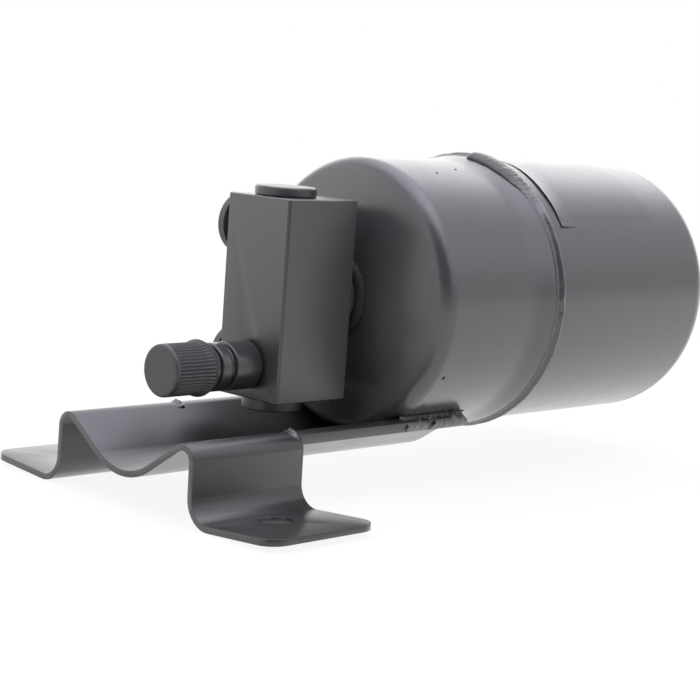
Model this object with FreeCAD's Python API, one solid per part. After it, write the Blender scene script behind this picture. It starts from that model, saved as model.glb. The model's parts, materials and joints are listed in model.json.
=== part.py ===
import FreeCAD, Part
import math
import os

from FreeCAD import Vector

# Receiver drier of an air-conditioning system: a canister of two drawn steel
# cups on a folded bracket, with a bored connection block on its front end.
# Millimetres. X runs along the canister from the service cap to the rear end,
# Z is up, and Y = 0 is the plane of symmetry of canister and bracket. The
# origin lies midway between the two bolt holes, on the mounting plane.

# Canister
AXIS_Z = 60.0               # canister axis above the mounting plane
SHEET = 2.0                 # wall of both cups
FRONT_R = 44.5              # front cup, outside
CUP_STEP = 0.8              # rear cup over the front cup, radial
FRONT_END_X = 61.5          # top of the front end's crown
REAR_END_X = 210.8          # top of the rear end's crown
FRONT_CROWN_R = 175.0
FRONT_SHOULDER_R = 5.5
REAR_CROWN_R = 530.0
REAR_SHOULDER_R = 9.0

# Lap joint: the front cup's mouth is opened out over the rear cup
JOGGLE_X = 106.2            # where the front cup starts to open
JOGGLE_HOLLOW_R = 2.0       # first bend, outside
JOGGLE_ROUND_R = 12.0       # second bend, outside
LAP_GAP = 0.05              # radial play of the rear cup in the mouth
LIP_LENGTH = 5.834          # front cup's mouth, behind the second bend
LAP_ENTRY = 0.6             # rear cup's edge behind the end of the second bend
SEAM_BEFORE = 0.8           # bead on the front cup, ahead of its rim
SEAM_AFTER = 4.3            # bead on the rear cup, behind the rim
SEAM_CROWN = 1.2            # height of the bead over the line between its toes

# Folded bracket, by the middle line of its sheet
BRACKET_SHEET = 2.0
BRACKET_FRONT_X = -21.5
BRACKET_REAR_X = 96.0
FOOT_REAR_X = 21.4          # walls and feet end here
CRADLE_ANGLE = 33.5         # slope of the trough's sides, degrees
CREST_Y = 30.4
WALL_LEAN = 0.9             # degrees
FOOT_END_Y = 65.35
FOOT_TOE = 4.0              # feet rise outwards, degrees
TROUGH_BEND = 21.0
CREST_BEND = 3.9
FOOT_BEND = 7.7
TRIM_Y = 29.3               # edge of the sheet behind the feet
FOOT_FRONT_CORNER = 6.0
FOOT_REAR_CORNER = 7.6
BOLT_HOLE_R = 5.0
BOLT_HOLE_Y = 44.0

# Fillet welds between bracket and canister
BRACKET_WELD_FROM = 68.4
BRACKET_WELD_TO = 98.0
BRACKET_WELD_TOE_Y = 26.2   # upper toe, on the canister
BRACKET_WELD_CROWN = 2.3

# Connection block
BLOCK_FRONT_X = 25.9
BLOCK_DEPTH = 29.6
BLOCK_WIDTH = 28.0
BLOCK_HEIGHT = 62.8
BLOCK_CORNER = 0.8          # chamfer of the four upright edges
BLOCK_EDGE = 0.3            # chamfer of the other edges
NECK_R = 11.2
SPIGOT_R = 10.0
SPIGOT_THROUGH = 1.5        # spigot inside the canister, past the wall
SPIGOT_FIT = 0.05
NECK_WELD_LEG = 2.6

# Passages bored in the block
DRILLING_X = 11.2           # upright drillings behind the front face
DRILLING_R = 4.0
PLUG_BORE_R = 6.0
PLUG_BORE_PAST = 0.6        # bore deeper than the plug's shank
PORT_X = 9.8                # side ports behind the front face
PORT_R = 5.5
PORT_PAST_AXIS = 1.0
INLET_TO_TOP = 9.9          # side ports to the block's ends
OUTLET_TO_BOTTOM = 10.9
RETURN_RISE = 5.2           # passage into the canister, over the axis
RETURN_R = 3.2
TUBE_DROP = 4.6             # pick-up tube, under the axis
TUBE_SEAT = 12.0            # length of the tube held in the block
TUBE_FIT = 0.02

# Closing plugs, above and below the block
CLOSER_HEAD_R = 9.6
TOP_HEAD = 3.05
BOTTOM_HEAD = 3.8
HEAD_EDGE = 0.4
CLOSER_SHANK = 5.0
THREAD_FIT = 0.05
RING_SECTION = 0.8          # radius of the sealing ring's section
RING_GROOVE_PLAY = 0.05

# Transit plugs of the side ports
TRANSIT_HEAD_R = 9.6
TRANSIT_HEAD = 2.8
TRANSIT_STANDOFF = 1.8      # bare length between head and block
TRANSIT_WAIST_R = 7.0
TRANSIT_SHANK = 8.0
TRANSIT_FIT = 0.1
TRANSIT_RING = 0.55         # radius of its ring's section

# Service valve
VALVE_TO_BOTTOM = 10.6      # service port to the block's lower end
VALVE_SHANK_R = 4.5
VALVE_SHANK = 5.8
VALVE_SEAL = 0.9            # thickness, block to valve body
VALVE_SEAL_R = 7.0
VALVE_BARREL_R = 7.6
VALVE_BARREL = 9.9
VALVE_GROOVE_R = 6.2
VALVE_GROOVE = 2.0
VALVE_RING_R = 7.5
VALVE_RING = 3.7
VALVE_NOSE_R = 6.3
VALVE_EDGE = 0.4
CAP_STANDOFF = 1.7          # bare nose between ring and cap

# Service cap
CAP_LENGTH = 17.0
CAP_R = 8.0
CAP_COLLAR_R = 8.9
CAP_COLLAR_FROM = 12.1      # from the closed end
CAP_COLLAR_TO = 15.6
CAP_LIP_R = 7.9
CAP_END_ROUND = 0.9
CAP_END_WALL = 1.8
CAP_BORE_GAP = 0.3
CAP_RIBS = 45
CAP_RIB_HEIGHT = 0.25
CAP_RIB_FROM = 1.6          # from the closed end
CAP_SEAL = 1.2
CAP_SEAL_GAP = 0.05

# Valve core, measured inwards from the mouth of the nose
MOUTH_R = 3.6
MOUTH_DEPTH = 3.0
CORE_HEAD_R = 2.6
CORE_HEAD_FROM = 3.2
CORE_HEAD_TO = 7.7
CORE_FIT = 0.05
CONE_FROM = 8.0
CONE_TO = 9.5
VALVE_BORE_R = 2.2
CORE_BARREL_R = 1.9
CORE_TO = 14.0
CORE_SEAL_FROM = 8.0
CORE_SEAL_TO = 9.3
GUIDE_R = 0.75
GUIDE_TO = 4.7
CHAMBER_R = 1.35
CHAMBER_TO = 13.2
CORE_LIP_R = 1.0

# Valve pin
PIN_R = 0.65
PIN_FROM = 2.4
COLLAR_R = 1.15
COLLAR_FROM = 5.6
COLLAR_TO = 6.2
POPPET_R = 1.8
POPPET_LENGTH = 1.6
PIN_SEAL = 0.5
PIN_SEAL_R = 1.5
PIN_SEAL_GAP = 0.02
SPRING_WIRE_R = 0.14
SPRING_R = 1.0
SPRING_TURNS = 6
SPRING_END_GAP = 0.02

# Drying pack and pick-up tube
PACK_PLAY = 0.2             # radial, in the front cup
PLATE = 1.2
PLATE_FLANGE = 5.0
PAD = 4.0
PACK_LENGTH = 26.0
HOLE_R = 1.6
HOLE_RINGS = 5
HOLE_RING_STEP = 6.0
HOLES_IN_FIRST_RING = 8
HOLES_MORE_EACH_RING = 4
PACK_SPRING_R = 18.0
PACK_SPRING_WIRE_R = 1.2
PACK_SPRING_TURNS = 3
PACK_SPRING_GAP = 0.05
TUBE_R = 4.0
TUBE_WALL = 1.0
TUBE_HOLE_PLAY = 0.2
TUBE_BEND_R = 14.0
TUBE_BEND_X = 172.0
TUBE_END_Z = 24.0
STRAINER_R = 7.5
STRAINER_WALL = 0.6
STRAINER_SLEEVE = 5.0
STRAINER_GAP = 1.5          # over the lowest point inside the canister
STRAINER_SHOULDER_Z = 34.0
STRAINER_HOLE_R = 1.0
STRAINER_ROWS = 4
STRAINER_HOLES = 10

# Derived sizes that several pieces share
BLOCK_REAR_X = BLOCK_FRONT_X + BLOCK_DEPTH
BLOCK_TOP_Z = AXIS_Z + BLOCK_HEIGHT / 2
BLOCK_BOTTOM_Z = AXIS_Z - BLOCK_HEIGHT / 2
DRILLING = Vector(BLOCK_FRONT_X + DRILLING_X, 0, 0)
INLET_Z = BLOCK_TOP_Z - INLET_TO_TOP
OUTLET_Z = BLOCK_BOTTOM_Z + OUTLET_TO_BOTTOM
REAR_R = FRONT_R + CUP_STEP
MOUTH_RADIUS = REAR_R + LAP_GAP + SHEET
JOGGLE_RISE = MOUTH_RADIUS - FRONT_R
JOGGLE_TURN = math.acos(1 - JOGGLE_RISE / (JOGGLE_HOLLOW_R + JOGGLE_ROUND_R))
JOGGLE_END_X = JOGGLE_X + (JOGGLE_HOLLOW_R + JOGGLE_ROUND_R) * math.sin(JOGGLE_TURN)
LAP_X = JOGGLE_END_X + LAP_ENTRY
MOUTH_X = JOGGLE_END_X + LIP_LENGTH
TUBE_Z = AXIS_Z - TUBE_DROP
VALVE_Z = BLOCK_BOTTOM_Z + VALVE_TO_BOTTOM
NOSE_FOOT = VALVE_SEAL + VALVE_BARREL + VALVE_GROOVE + VALVE_RING
CAP_OPEN = NOSE_FOOT + CAP_STANDOFF
NOSE_END = CAP_OPEN + CAP_LENGTH - CAP_END_WALL - CAP_SEAL - CAP_SEAL_GAP
X = Vector(1, 0, 0)
Y = Vector(0, 1, 0)
Z = Vector(0, 0, 1)


# Outlines and solids

def outline(start, *steps):
    """Closed wire in a plane of pairs (a, b), laid in XZ as x = a, z = b. A
    step is a point, for a straight edge, or (middle, end), for an arc."""
    edges = []
    here = start
    for step in list(steps) + [start]:
        curved = isinstance(step[0], tuple)
        end = step[1] if curved else step
        if math.dist(here, end) > 1e-7:
            p = Vector(here[0], 0, here[1])
            q = Vector(end[0], 0, end[1])
            if curved:
                middle = Vector(step[0][0], 0, step[0][1])
                edges.append(Part.Arc(p, middle, q).toShape())
            else:
                edges.append(Part.LineSegment(p, q).toShape())
        here = end
    return Part.Wire(edges)


def turned(start, *steps, angle=360):
    """Solid of revolution about Z from an outline of pairs (radius, height)."""
    return Part.Face(outline(start, *steps)).revolve(Vector(), Z, angle)


def placed(shape, base, axis):
    """The shape moved so that its own origin and Z lie on base and axis."""
    shape = shape.copy()
    move = FreeCAD.Placement(base, FreeCAD.Rotation(Z, axis))
    shape.Placement = move.multiply(shape.Placement)
    return shape


def rod(radius, base, axis, length):
    return Part.makeCylinder(radius, length, base, axis)


def ring(radius, section, base, axis):
    return Part.makeTorus(radius, section, base, axis)


def polar(centre, radius, angle):
    """Point at an angle in degrees from the first axis of the plane."""
    turn = math.radians(angle)
    return (centre[0] + radius * math.cos(turn), centre[1] + radius * math.sin(turn))


def on_canister_axis(shape):
    """A turned shape whose height is its X, laid on the canister's axis."""
    return placed(shape, Vector(0, 0, AXIS_Z), X)


def chamfered(shape, size, picks):
    edges = [edge for edge in shape.Edges if picks(edge)]
    return shape.makeChamfer(size, edges)


def coil(radius, wire, turns, length, strips=1):
    """Round wire wound about Z from height 0 to the given length, outside to
    outside. Its surface is divided along the wire into strips."""
    rise = length - 2 * wire
    path = Part.makeHelix(rise / turns, rise, radius)
    circle = Part.Circle(Vector(radius, 0, 0), Y, wire)
    share = 2 * math.pi / strips
    section = Part.Wire([Part.Edge(circle, share * k, share * (k + 1)) for k in range(strips)])
    spring = Part.Wire(path.Edges).makePipeShell([section], True, True)
    spring.translate(Vector(0, 0, wire))
    return spring


# Canister

def dome(apex, direction, crown_r, shoulder_r, body_r, from_r=0.0):
    """Crowned end as outline steps from from_r out to body_r: the point where
    it starts, the crown's arc and the shoulder's arc, tangent to each other."""
    crown = (0.0, apex + direction * crown_r)
    reach = crown_r - shoulder_r
    shoulder_at = body_r - shoulder_r
    shoulder = (shoulder_at, crown[1] - direction * math.sqrt(reach**2 - shoulder_at**2))
    slope = math.degrees(math.atan2(shoulder[1] - crown[1], shoulder[0] - crown[0]))

    def crown_point(r):
        return (r, crown[1] - direction * math.sqrt(crown_r**2 - r**2))

    meet = polar(crown, crown_r, slope)
    return (
        crown_point(from_r),
        (crown_point((from_r + meet[0]) / 2), meet),
        (polar(shoulder, shoulder_r, slope / 2), (body_r, shoulder[1])),
    )


def reverse(steps):
    """The same outline steps run from their end to their start."""
    corners = [steps[0]] + [step[1] for step in steps[1:]]
    back = [corners[-1]]
    for number in range(len(steps) - 1, 0, -1):
        back.append((steps[number][0], corners[number - 1]))
    return tuple(back)


def joggle(depth):
    """Both bends that open the front cup, on the surface that lies depth
    inside its outer one."""
    turn = math.degrees(JOGGLE_TURN)
    hollow = (FRONT_R + JOGGLE_HOLLOW_R, JOGGLE_X)
    hump = (MOUTH_RADIUS - JOGGLE_ROUND_R, JOGGLE_END_X)
    hollow_r = JOGGLE_HOLLOW_R + depth
    hump_r = JOGGLE_ROUND_R - depth
    return (
        (FRONT_R - depth, JOGGLE_X),
        (polar(hollow, hollow_r, 180 - turn / 2), polar(hollow, hollow_r, 180 - turn)),
        (polar(hump, hump_r, -turn / 2), (MOUTH_RADIUS - depth, JOGGLE_END_X)),
    )


def front_cup():
    hole = SPIGOT_R + SPIGOT_FIT
    outer = dome(FRONT_END_X, 1, FRONT_CROWN_R, FRONT_SHOULDER_R, FRONT_R, hole)
    inner = dome(FRONT_END_X + SHEET, 1, FRONT_CROWN_R - SHEET,
                 FRONT_SHOULDER_R - SHEET, FRONT_R - SHEET, hole)
    steps = outer + joggle(0)
    steps += ((MOUTH_RADIUS, MOUTH_X), (MOUTH_RADIUS - SHEET, MOUTH_X))
    steps += reverse(joggle(SHEET)) + reverse(inner)
    return on_canister_axis(turned(*steps))


def rear_cup():
    outer = dome(REAR_END_X, -1, REAR_CROWN_R, REAR_SHOULDER_R, REAR_R)
    inner = dome(REAR_END_X - SHEET, -1, REAR_CROWN_R - SHEET,
                 REAR_SHOULDER_R - SHEET, REAR_R - SHEET)
    steps = outer + ((REAR_R, LAP_X), (REAR_R - SHEET, LAP_X)) + reverse(inner)
    return on_canister_axis(turned(*steps))


def bulged(start, end, height):
    """Middle point of an arc that stands height to the left of start to end."""
    run = (end[0] - start[0], end[1] - start[1])
    long = math.hypot(*run)
    return ((start[0] + end[0]) / 2 - height * run[1] / long,
            (start[1] + end[1]) / 2 + height * run[0] / long)


def seam_weld():
    """Bead round the rim of the front cup, down onto the rear cup."""
    front_toe = (MOUTH_RADIUS, MOUTH_X - SEAM_BEFORE)
    rear_toe = (REAR_R, MOUTH_X + SEAM_AFTER)
    bead = turned(front_toe, (bulged(rear_toe, front_toe, SEAM_CROWN), rear_toe),
                  (REAR_R, MOUTH_X), (MOUTH_RADIUS, MOUTH_X))
    return on_canister_axis(bead)


# Connection block

def connection_block():
    corner = Vector(BLOCK_FRONT_X, -BLOCK_WIDTH / 2, BLOCK_BOTTOM_Z)
    block = Part.makeBox(BLOCK_DEPTH, BLOCK_WIDTH, BLOCK_HEIGHT, corner)
    block = chamfered(block, BLOCK_CORNER, is_upright)
    block = chamfered(block, BLOCK_EDGE, lies_at_end)
    shoulder_x = crown_x(SPIGOT_R)
    spigot_x = crown_x(SPIGOT_R) + SHEET + SPIGOT_THROUGH
    rear = Vector(BLOCK_REAR_X, 0, AXIS_Z)
    block = block.fuse(rod(NECK_R, rear, X, shoulder_x - BLOCK_REAR_X))
    block = block.fuse(rod(SPIGOT_R, rear, X, spigot_x - BLOCK_REAR_X))
    for passage in passages(spigot_x):
        block = block.cut(passage)
    return block


def is_upright(edge):
    return abs(edge.tangentAt(edge.FirstParameter).z) > 0.99


def lies_at_end(edge):
    height = edge.CenterOfMass.z
    return min(abs(height - BLOCK_TOP_Z), abs(height - BLOCK_BOTTOM_Z)) < 1e-6


def crown_x(r):
    """X of the front end's crown at a radius."""
    return FRONT_END_X + FRONT_CROWN_R - math.sqrt(FRONT_CROWN_R**2 - r**2)


def passages(spigot_x):
    """Everything bored in the block. The inlet runs from the upper side port
    through the upper drilling into the canister, and the outlet from the
    pick-up tube through the lower drilling to the lower side port, which the
    service valve's bore meets."""
    return_z = AXIS_Z + RETURN_RISE
    half = BLOCK_WIDTH / 2
    groove_r = PLUG_BORE_R - THREAD_FIT + 2 * RING_SECTION + RING_GROOVE_PLAY
    groove = 2 * RING_SECTION + RING_GROOVE_PLAY
    cuts = []
    for face_z, down, end_z in (
        (BLOCK_TOP_Z, -1, return_z - RETURN_R),
        (BLOCK_BOTTOM_Z, 1, TUBE_Z + TUBE_R - TUBE_WALL),
    ):
        face = DRILLING + Vector(0, 0, face_z)
        cuts.append(rod(DRILLING_R, face, Z * down, abs(end_z - face_z)))
        cuts.append(rod(PLUG_BORE_R, face, Z * down, CLOSER_SHANK + PLUG_BORE_PAST))
        cuts.append(rod(groove_r, face, Z * down, groove))
    for port_z in (INLET_Z, OUTLET_Z):
        port = Vector(BLOCK_FRONT_X + PORT_X, half, port_z)
        cuts.append(rod(PORT_R, port, -Y, half + PORT_PAST_AXIS))
    inlet_end = Vector(spigot_x, 0, return_z)
    cuts.append(rod(RETURN_R, inlet_end, -X, spigot_x - DRILLING.x))
    tube_end = Vector(spigot_x, 0, TUBE_Z)
    cuts.append(rod(TUBE_R + TUBE_FIT, tube_end, -X, tube_length_in_block(spigot_x)))
    cuts.append(rod(TUBE_R - TUBE_WALL, tube_end, -X, spigot_x - DRILLING.x))
    valve = Vector(BLOCK_FRONT_X, 0, VALVE_Z)
    cuts.append(rod(VALVE_SHANK_R + THREAD_FIT, valve, X, VALVE_SHANK))
    cuts.append(rod(VALVE_BORE_R, valve, X, PORT_X))
    return cuts


def tube_length_in_block(spigot_x):
    return spigot_x - BLOCK_REAR_X + TUBE_SEAT


def neck_weld(block, cup):
    """Fillet round the neck, where it meets the front end."""
    front_toe = (NECK_R, crown_x(NECK_R) - NECK_WELD_LEG)
    outer_toe = (NECK_R + NECK_WELD_LEG, crown_x(NECK_R + NECK_WELD_LEG))
    fillet = turned(front_toe, (bulged(outer_toe, front_toe, -0.25), outer_toe),
                    (NECK_R, outer_toe[1]))
    return on_canister_axis(fillet).cut(cup).cut(block)


# Plugs of the block

def closing_plug(head):
    """Low round head on a threaded shank, seated at height 0."""
    shank_r = PLUG_BORE_R - THREAD_FIT
    return turned((0, -CLOSER_SHANK), (shank_r - HEAD_EDGE, -CLOSER_SHANK),
                  (shank_r, HEAD_EDGE - CLOSER_SHANK), (shank_r, 0),
                  (CLOSER_HEAD_R - HEAD_EDGE, 0), (CLOSER_HEAD_R, HEAD_EDGE),
                  (CLOSER_HEAD_R, head - HEAD_EDGE),
                  (CLOSER_HEAD_R - HEAD_EDGE, head), (0, head))


def closing_seal():
    ring_r = PLUG_BORE_R - THREAD_FIT + RING_SECTION
    return ring(ring_r, RING_SECTION, Vector(0, 0, -RING_SECTION - RING_GROOVE_PLAY), Z)


def transit_plug():
    """Plastic plug pushed into a side port, with a ring groove in its shank."""
    shank_r = PORT_R - TRANSIT_FIT
    top = TRANSIT_STANDOFF + TRANSIT_HEAD
    middle = -TRANSIT_SHANK / 2
    plug = turned((0, -TRANSIT_SHANK), (shank_r - HEAD_EDGE, -TRANSIT_SHANK),
                  (shank_r, HEAD_EDGE - TRANSIT_SHANK), (shank_r, 0),
                  (TRANSIT_WAIST_R, 0), (TRANSIT_WAIST_R, TRANSIT_STANDOFF),
                  (TRANSIT_HEAD_R, TRANSIT_STANDOFF),
                  (TRANSIT_HEAD_R, top - HEAD_EDGE), (TRANSIT_HEAD_R - HEAD_EDGE, top),
                  (0, top))
    groove = ring(PORT_R - TRANSIT_RING, TRANSIT_RING, Vector(0, 0, middle), Z)
    return plug.cut(groove)


def transit_seal():
    middle = Vector(0, 0, -TRANSIT_SHANK / 2)
    return ring(PORT_R - TRANSIT_RING, TRANSIT_RING, middle, Z)


def block_plugs():
    parts = {}
    top = DRILLING + Vector(0, 0, BLOCK_TOP_Z)
    bottom = DRILLING + Vector(0, 0, BLOCK_BOTTOM_Z)
    for name, head, face, out in (("top_plug", TOP_HEAD, top, Z),
                                  ("bottom_plug", BOTTOM_HEAD, bottom, -Z)):
        parts[name] = placed(closing_plug(head), face, out)
        parts[name + "_seal"] = placed(closing_seal(), face, out)
    for name, port_z in (("inlet_plug", INLET_Z), ("outlet_plug", OUTLET_Z)):
        face = Vector(BLOCK_FRONT_X + PORT_X, BLOCK_WIDTH / 2, port_z)
        parts[name] = placed(transit_plug(), face, Y)
        parts[name + "_seal"] = placed(transit_seal(), face, Y)
    return parts


# Service valve: heights run outwards from the block's front face

def on_valve_axis(shape):
    return placed(shape, Vector(BLOCK_FRONT_X, 0, VALVE_Z), -X)


def valve_body():
    barrel = VALVE_SEAL + VALVE_BARREL
    groove = barrel + VALVE_GROOVE
    e = VALVE_EDGE
    body = turned((0, -VALVE_SHANK), (VALVE_SHANK_R, -VALVE_SHANK), (VALVE_SHANK_R, VALVE_SEAL),
                  (VALVE_BARREL_R - e, VALVE_SEAL), (VALVE_BARREL_R, VALVE_SEAL + e),
                  (VALVE_BARREL_R, barrel - e), (VALVE_BARREL_R - e, barrel),
                  (VALVE_GROOVE_R, barrel), (VALVE_GROOVE_R, groove),
                  (VALVE_RING_R - e, groove), (VALVE_RING_R, groove + e),
                  (VALVE_RING_R, NOSE_FOOT - e), (VALVE_RING_R - e, NOSE_FOOT),
                  (VALVE_NOSE_R, NOSE_FOOT), (VALVE_NOSE_R, NOSE_END - e),
                  (VALVE_NOSE_R - e, NOSE_END), (0, NOSE_END))
    thread_r = CORE_HEAD_R + CORE_FIT
    bore = turned((0, NOSE_END), (MOUTH_R, NOSE_END), (MOUTH_R, NOSE_END - MOUTH_DEPTH),
                  (thread_r, NOSE_END - MOUTH_DEPTH), (thread_r, NOSE_END - CONE_FROM),
                  (VALVE_BORE_R, NOSE_END - CONE_TO), (VALVE_BORE_R, -VALVE_SHANK),
                  (0, -VALVE_SHANK))
    return body.cut(bore)


def valve_body_seal():
    bore_r = VALVE_SHANK_R + THREAD_FIT
    round_x = VALVE_SEAL_R - VALVE_SEAL / 2
    return turned((bore_r, 0), (round_x, 0),
                  ((VALVE_SEAL_R, VALVE_SEAL / 2), (round_x, VALVE_SEAL)), (bore_r, VALVE_SEAL))


def inwards(start, *steps):
    """A turned solid given by depths inwards from the mouth of the nose."""
    return turned(*[(r, NOSE_END - depth) for r, depth in (start, *steps)])


def valve_core_body():
    """Threaded head with the pin's guide, over a barrel with the spring's
    chamber and a lip that the pin's seal closes on."""
    return inwards((GUIDE_R, CORE_HEAD_FROM), (CORE_HEAD_R, CORE_HEAD_FROM),
                   (CORE_HEAD_R, CORE_HEAD_TO), (CORE_BARREL_R, CORE_HEAD_TO),
                   (CORE_BARREL_R, CORE_TO), (CORE_LIP_R, CORE_TO),
                   (CORE_LIP_R, CHAMBER_TO), (CHAMBER_R, CHAMBER_TO),
                   (CHAMBER_R, GUIDE_TO), (GUIDE_R, GUIDE_TO))


def cone_r(depth):
    """Radius of the valve's bore along its cone."""
    share = (depth - CONE_FROM) / (CONE_TO - CONE_FROM)
    return CORE_HEAD_R + CORE_FIT + share * (VALVE_BORE_R - CORE_HEAD_R - CORE_FIT)


def valve_core_seal():
    return inwards((CORE_BARREL_R, CORE_SEAL_FROM), (cone_r(CORE_SEAL_FROM), CORE_SEAL_FROM),
                   (cone_r(CORE_SEAL_TO), CORE_SEAL_TO), (CORE_BARREL_R, CORE_SEAL_TO))


def valve_pin():
    cup = CORE_TO + PIN_SEAL_GAP
    floor = cup + PIN_SEAL
    rim_r = PIN_SEAL_R
    tip = PIN_R / 2
    return inwards((0, PIN_FROM), (tip, PIN_FROM), (PIN_R, PIN_FROM + tip),
                   (PIN_R, COLLAR_FROM), (COLLAR_R, COLLAR_FROM),
                   (COLLAR_R, COLLAR_TO), (PIN_R, COLLAR_TO), (PIN_R, floor),
                   (rim_r, floor), (rim_r, cup + PIN_SEAL / 2), (POPPET_R, cup + PIN_SEAL / 2),
                   (POPPET_R, cup + POPPET_LENGTH), (0, cup + POPPET_LENGTH))


def pin_seal():
    cup = CORE_TO + PIN_SEAL_GAP
    return inwards((PIN_R, cup), (PIN_SEAL_R, cup), (PIN_SEAL_R, cup + PIN_SEAL),
                   (PIN_R, cup + PIN_SEAL))


def valve_spring():
    length = CHAMBER_TO - COLLAR_TO - 2 * SPRING_END_GAP
    spring = coil(SPRING_R, SPRING_WIRE_R, SPRING_TURNS, length)
    spring.translate(Vector(0, 0, NOSE_END - CHAMBER_TO + SPRING_END_GAP))
    return spring


def cap_collar(inset):
    """Round collar next to the cap's lip, inset from the crests of the ribs.
    Heights run from the open edge."""
    collar_from = CAP_LENGTH - CAP_COLLAR_TO
    collar_to = CAP_LENGTH - CAP_COLLAR_FROM
    top = (CAP_COLLAR_R - inset, (collar_from + collar_to) / 2)
    return (CAP_LIP_R - inset, collar_from), (top, (CAP_R - inset, collar_to))


def service_cap():
    """Turned shell with straight ribs from near its end to over the collar."""
    bore_r = VALVE_NOSE_R + CAP_BORE_GAP
    root = CAP_RIB_HEIGHT
    soft = CAP_END_ROUND
    corner = (CAP_R - root - soft, CAP_LENGTH - soft)
    lip = CAP_LENGTH - CAP_COLLAR_TO
    shell = turned((bore_r, 0), (CAP_LIP_R, 0), (CAP_LIP_R, lip),
                   *cap_collar(root), (CAP_R - root, CAP_LENGTH - soft),
                   (polar(corner, soft, 45), (CAP_R - root - soft, CAP_LENGTH)),
                   (0, CAP_LENGTH), (0, CAP_LENGTH - CAP_END_WALL),
                   (bore_r, CAP_LENGTH - CAP_END_WALL))
    inside = bore_r + root
    pitch = 360 / CAP_RIBS
    rib = turned((inside, lip), *cap_collar(0),
                 (CAP_R, CAP_LENGTH - CAP_RIB_FROM - root),
                 (CAP_R - root, CAP_LENGTH - CAP_RIB_FROM),
                 (inside, CAP_LENGTH - CAP_RIB_FROM), angle=pitch / 2)
    ribs = []
    for number in range(CAP_RIBS):
        turn = rib.copy()
        turn.rotate(Vector(), Z, number * pitch)
        ribs.append(turn)
    cap = shell.multiFuse(ribs)
    cap.translate(Vector(0, 0, CAP_OPEN))
    return cap


def cap_seal():
    top = CAP_OPEN + CAP_LENGTH - CAP_END_WALL
    bore_r = VALVE_NOSE_R + CAP_BORE_GAP
    return turned((MOUTH_R, top - CAP_SEAL), (bore_r, top - CAP_SEAL), (bore_r, top),
                  (MOUTH_R, top))


# Bracket

def unit(start, end):
    long = math.dist(start, end)
    return ((end[0] - start[0]) / long, (end[1] - start[1]) / long)


def bend(before, corner, after, radius):
    """Centre of a bend of the middle line, and its two tangent points."""
    u = unit(corner, before)
    v = unit(corner, after)
    half = math.acos(u[0] * v[0] + u[1] * v[1]) / 2
    along = radius / math.tan(half)
    out = radius / math.sin(half) / math.hypot(u[0] + v[0], u[1] + v[1])
    centre = (corner[0] + (u[0] + v[0]) * out, corner[1] + (u[1] + v[1]) * out)
    start = (corner[0] + u[0] * along, corner[1] + u[1] * along)
    end = (corner[0] + v[0] * along, corner[1] + v[1] * along)
    return centre, start, end


def bracket_line():
    """Middle line of the folded sheet in (y, z), with the radius of each bend.
    The trough's sides touch the canister, and the feet's bends touch z = 0."""
    half_sheet = BRACKET_SHEET / 2
    slope = math.radians(CRADLE_ANGLE)
    toe = math.radians(FOOT_TOE)
    lean = math.radians(WALL_LEAN)
    trough_z = AXIS_Z - (FRONT_R + half_sheet) / math.cos(slope)
    crest_z = trough_z + CREST_Y * math.tan(slope)
    up = (-math.sin(lean), math.cos(lean))
    out = (math.cos(toe), math.sin(toe))
    half = math.acos(up[0] * out[0] + up[1] * out[1]) / 2
    rise = FOOT_BEND / math.sin(half) * (up[1] + out[1]) / math.hypot(up[0] + out[0], up[1] + out[1])
    foot_z = FOOT_BEND + half_sheet - rise
    foot_y = CREST_Y + (crest_z - foot_z) * math.tan(lean)
    end_z = foot_z + (FOOT_END_Y - foot_y) * math.tan(toe)
    half_line = [(CREST_Y, crest_z, CREST_BEND), (foot_y, foot_z, FOOT_BEND),
                 (FOOT_END_Y, end_z, 0)]
    other_half = [(-y, z, r) for y, z, r in reversed(half_line)]
    return other_half + [(0, trough_z, TROUGH_BEND)] + half_line


def side_of_sheet(line, side):
    """Outline steps along one face of the sheet, half a sheet to the side."""
    half_sheet = side * BRACKET_SHEET / 2
    points = [p[:2] for p in line]
    first = unit(points[0], points[1])
    last = unit(points[-2], points[-1])
    steps = [(points[0][0] - first[1] * half_sheet, points[0][1] + first[0] * half_sheet)]
    for number in range(1, len(line) - 1):
        radius = line[number][2]
        centre, start, end = bend(points[number - 1], points[number], points[number + 1], radius)
        before = unit(points[number - 1], points[number])
        after = unit(points[number], points[number + 1])
        left = before[0] * after[1] - before[1] * after[0]
        reach = radius - math.copysign(1, left) * half_sheet

        def at(point):
            way = unit(centre, point)
            return (centre[0] + way[0] * reach, centre[1] + way[1] * reach)

        steps.append(at(start))
        steps.append((at(points[number]), at(end)))
    steps.append((points[-1][0] - last[1] * half_sheet, points[-1][1] + last[0] * half_sheet))
    return steps


def section_along_x(start, *steps):
    """Face in the YZ plane from an outline of pairs (y, z)."""
    wire = outline(start, *steps)
    wire.rotate(Vector(), Z, 90)
    return Part.Face(wire)


def bracket():
    line = bracket_line()
    upper = side_of_sheet(line, 1)
    lower = side_of_sheet([(y, z, r) for y, z, r in reversed(line)], 1)
    sheet = section_along_x(*upper, *lower).extrude(X * (BRACKET_REAR_X - BRACKET_FRONT_X))
    sheet.translate(X * BRACKET_FRONT_X)
    reach = FOOT_END_Y * 2
    for side in (-1, 1):
        waste = Part.makeBox(reach, reach, 2 * AXIS_Z)
        near = TRIM_Y if side > 0 else -TRIM_Y - reach
        waste.translate(Vector(FOOT_REAR_X, near, -AXIS_Z))
        sheet = sheet.cut(waste)
        sheet = sheet.cut(bolt_hole(line, side))
    for corner_x, radius in ((BRACKET_FRONT_X, FOOT_FRONT_CORNER),
                             (FOOT_REAR_X, FOOT_REAR_CORNER)):
        corners = [edge for edge in sheet.Edges if is_foot_corner(edge, corner_x)]
        sheet = sheet.makeFillet(radius, corners)
    return sheet


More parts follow.
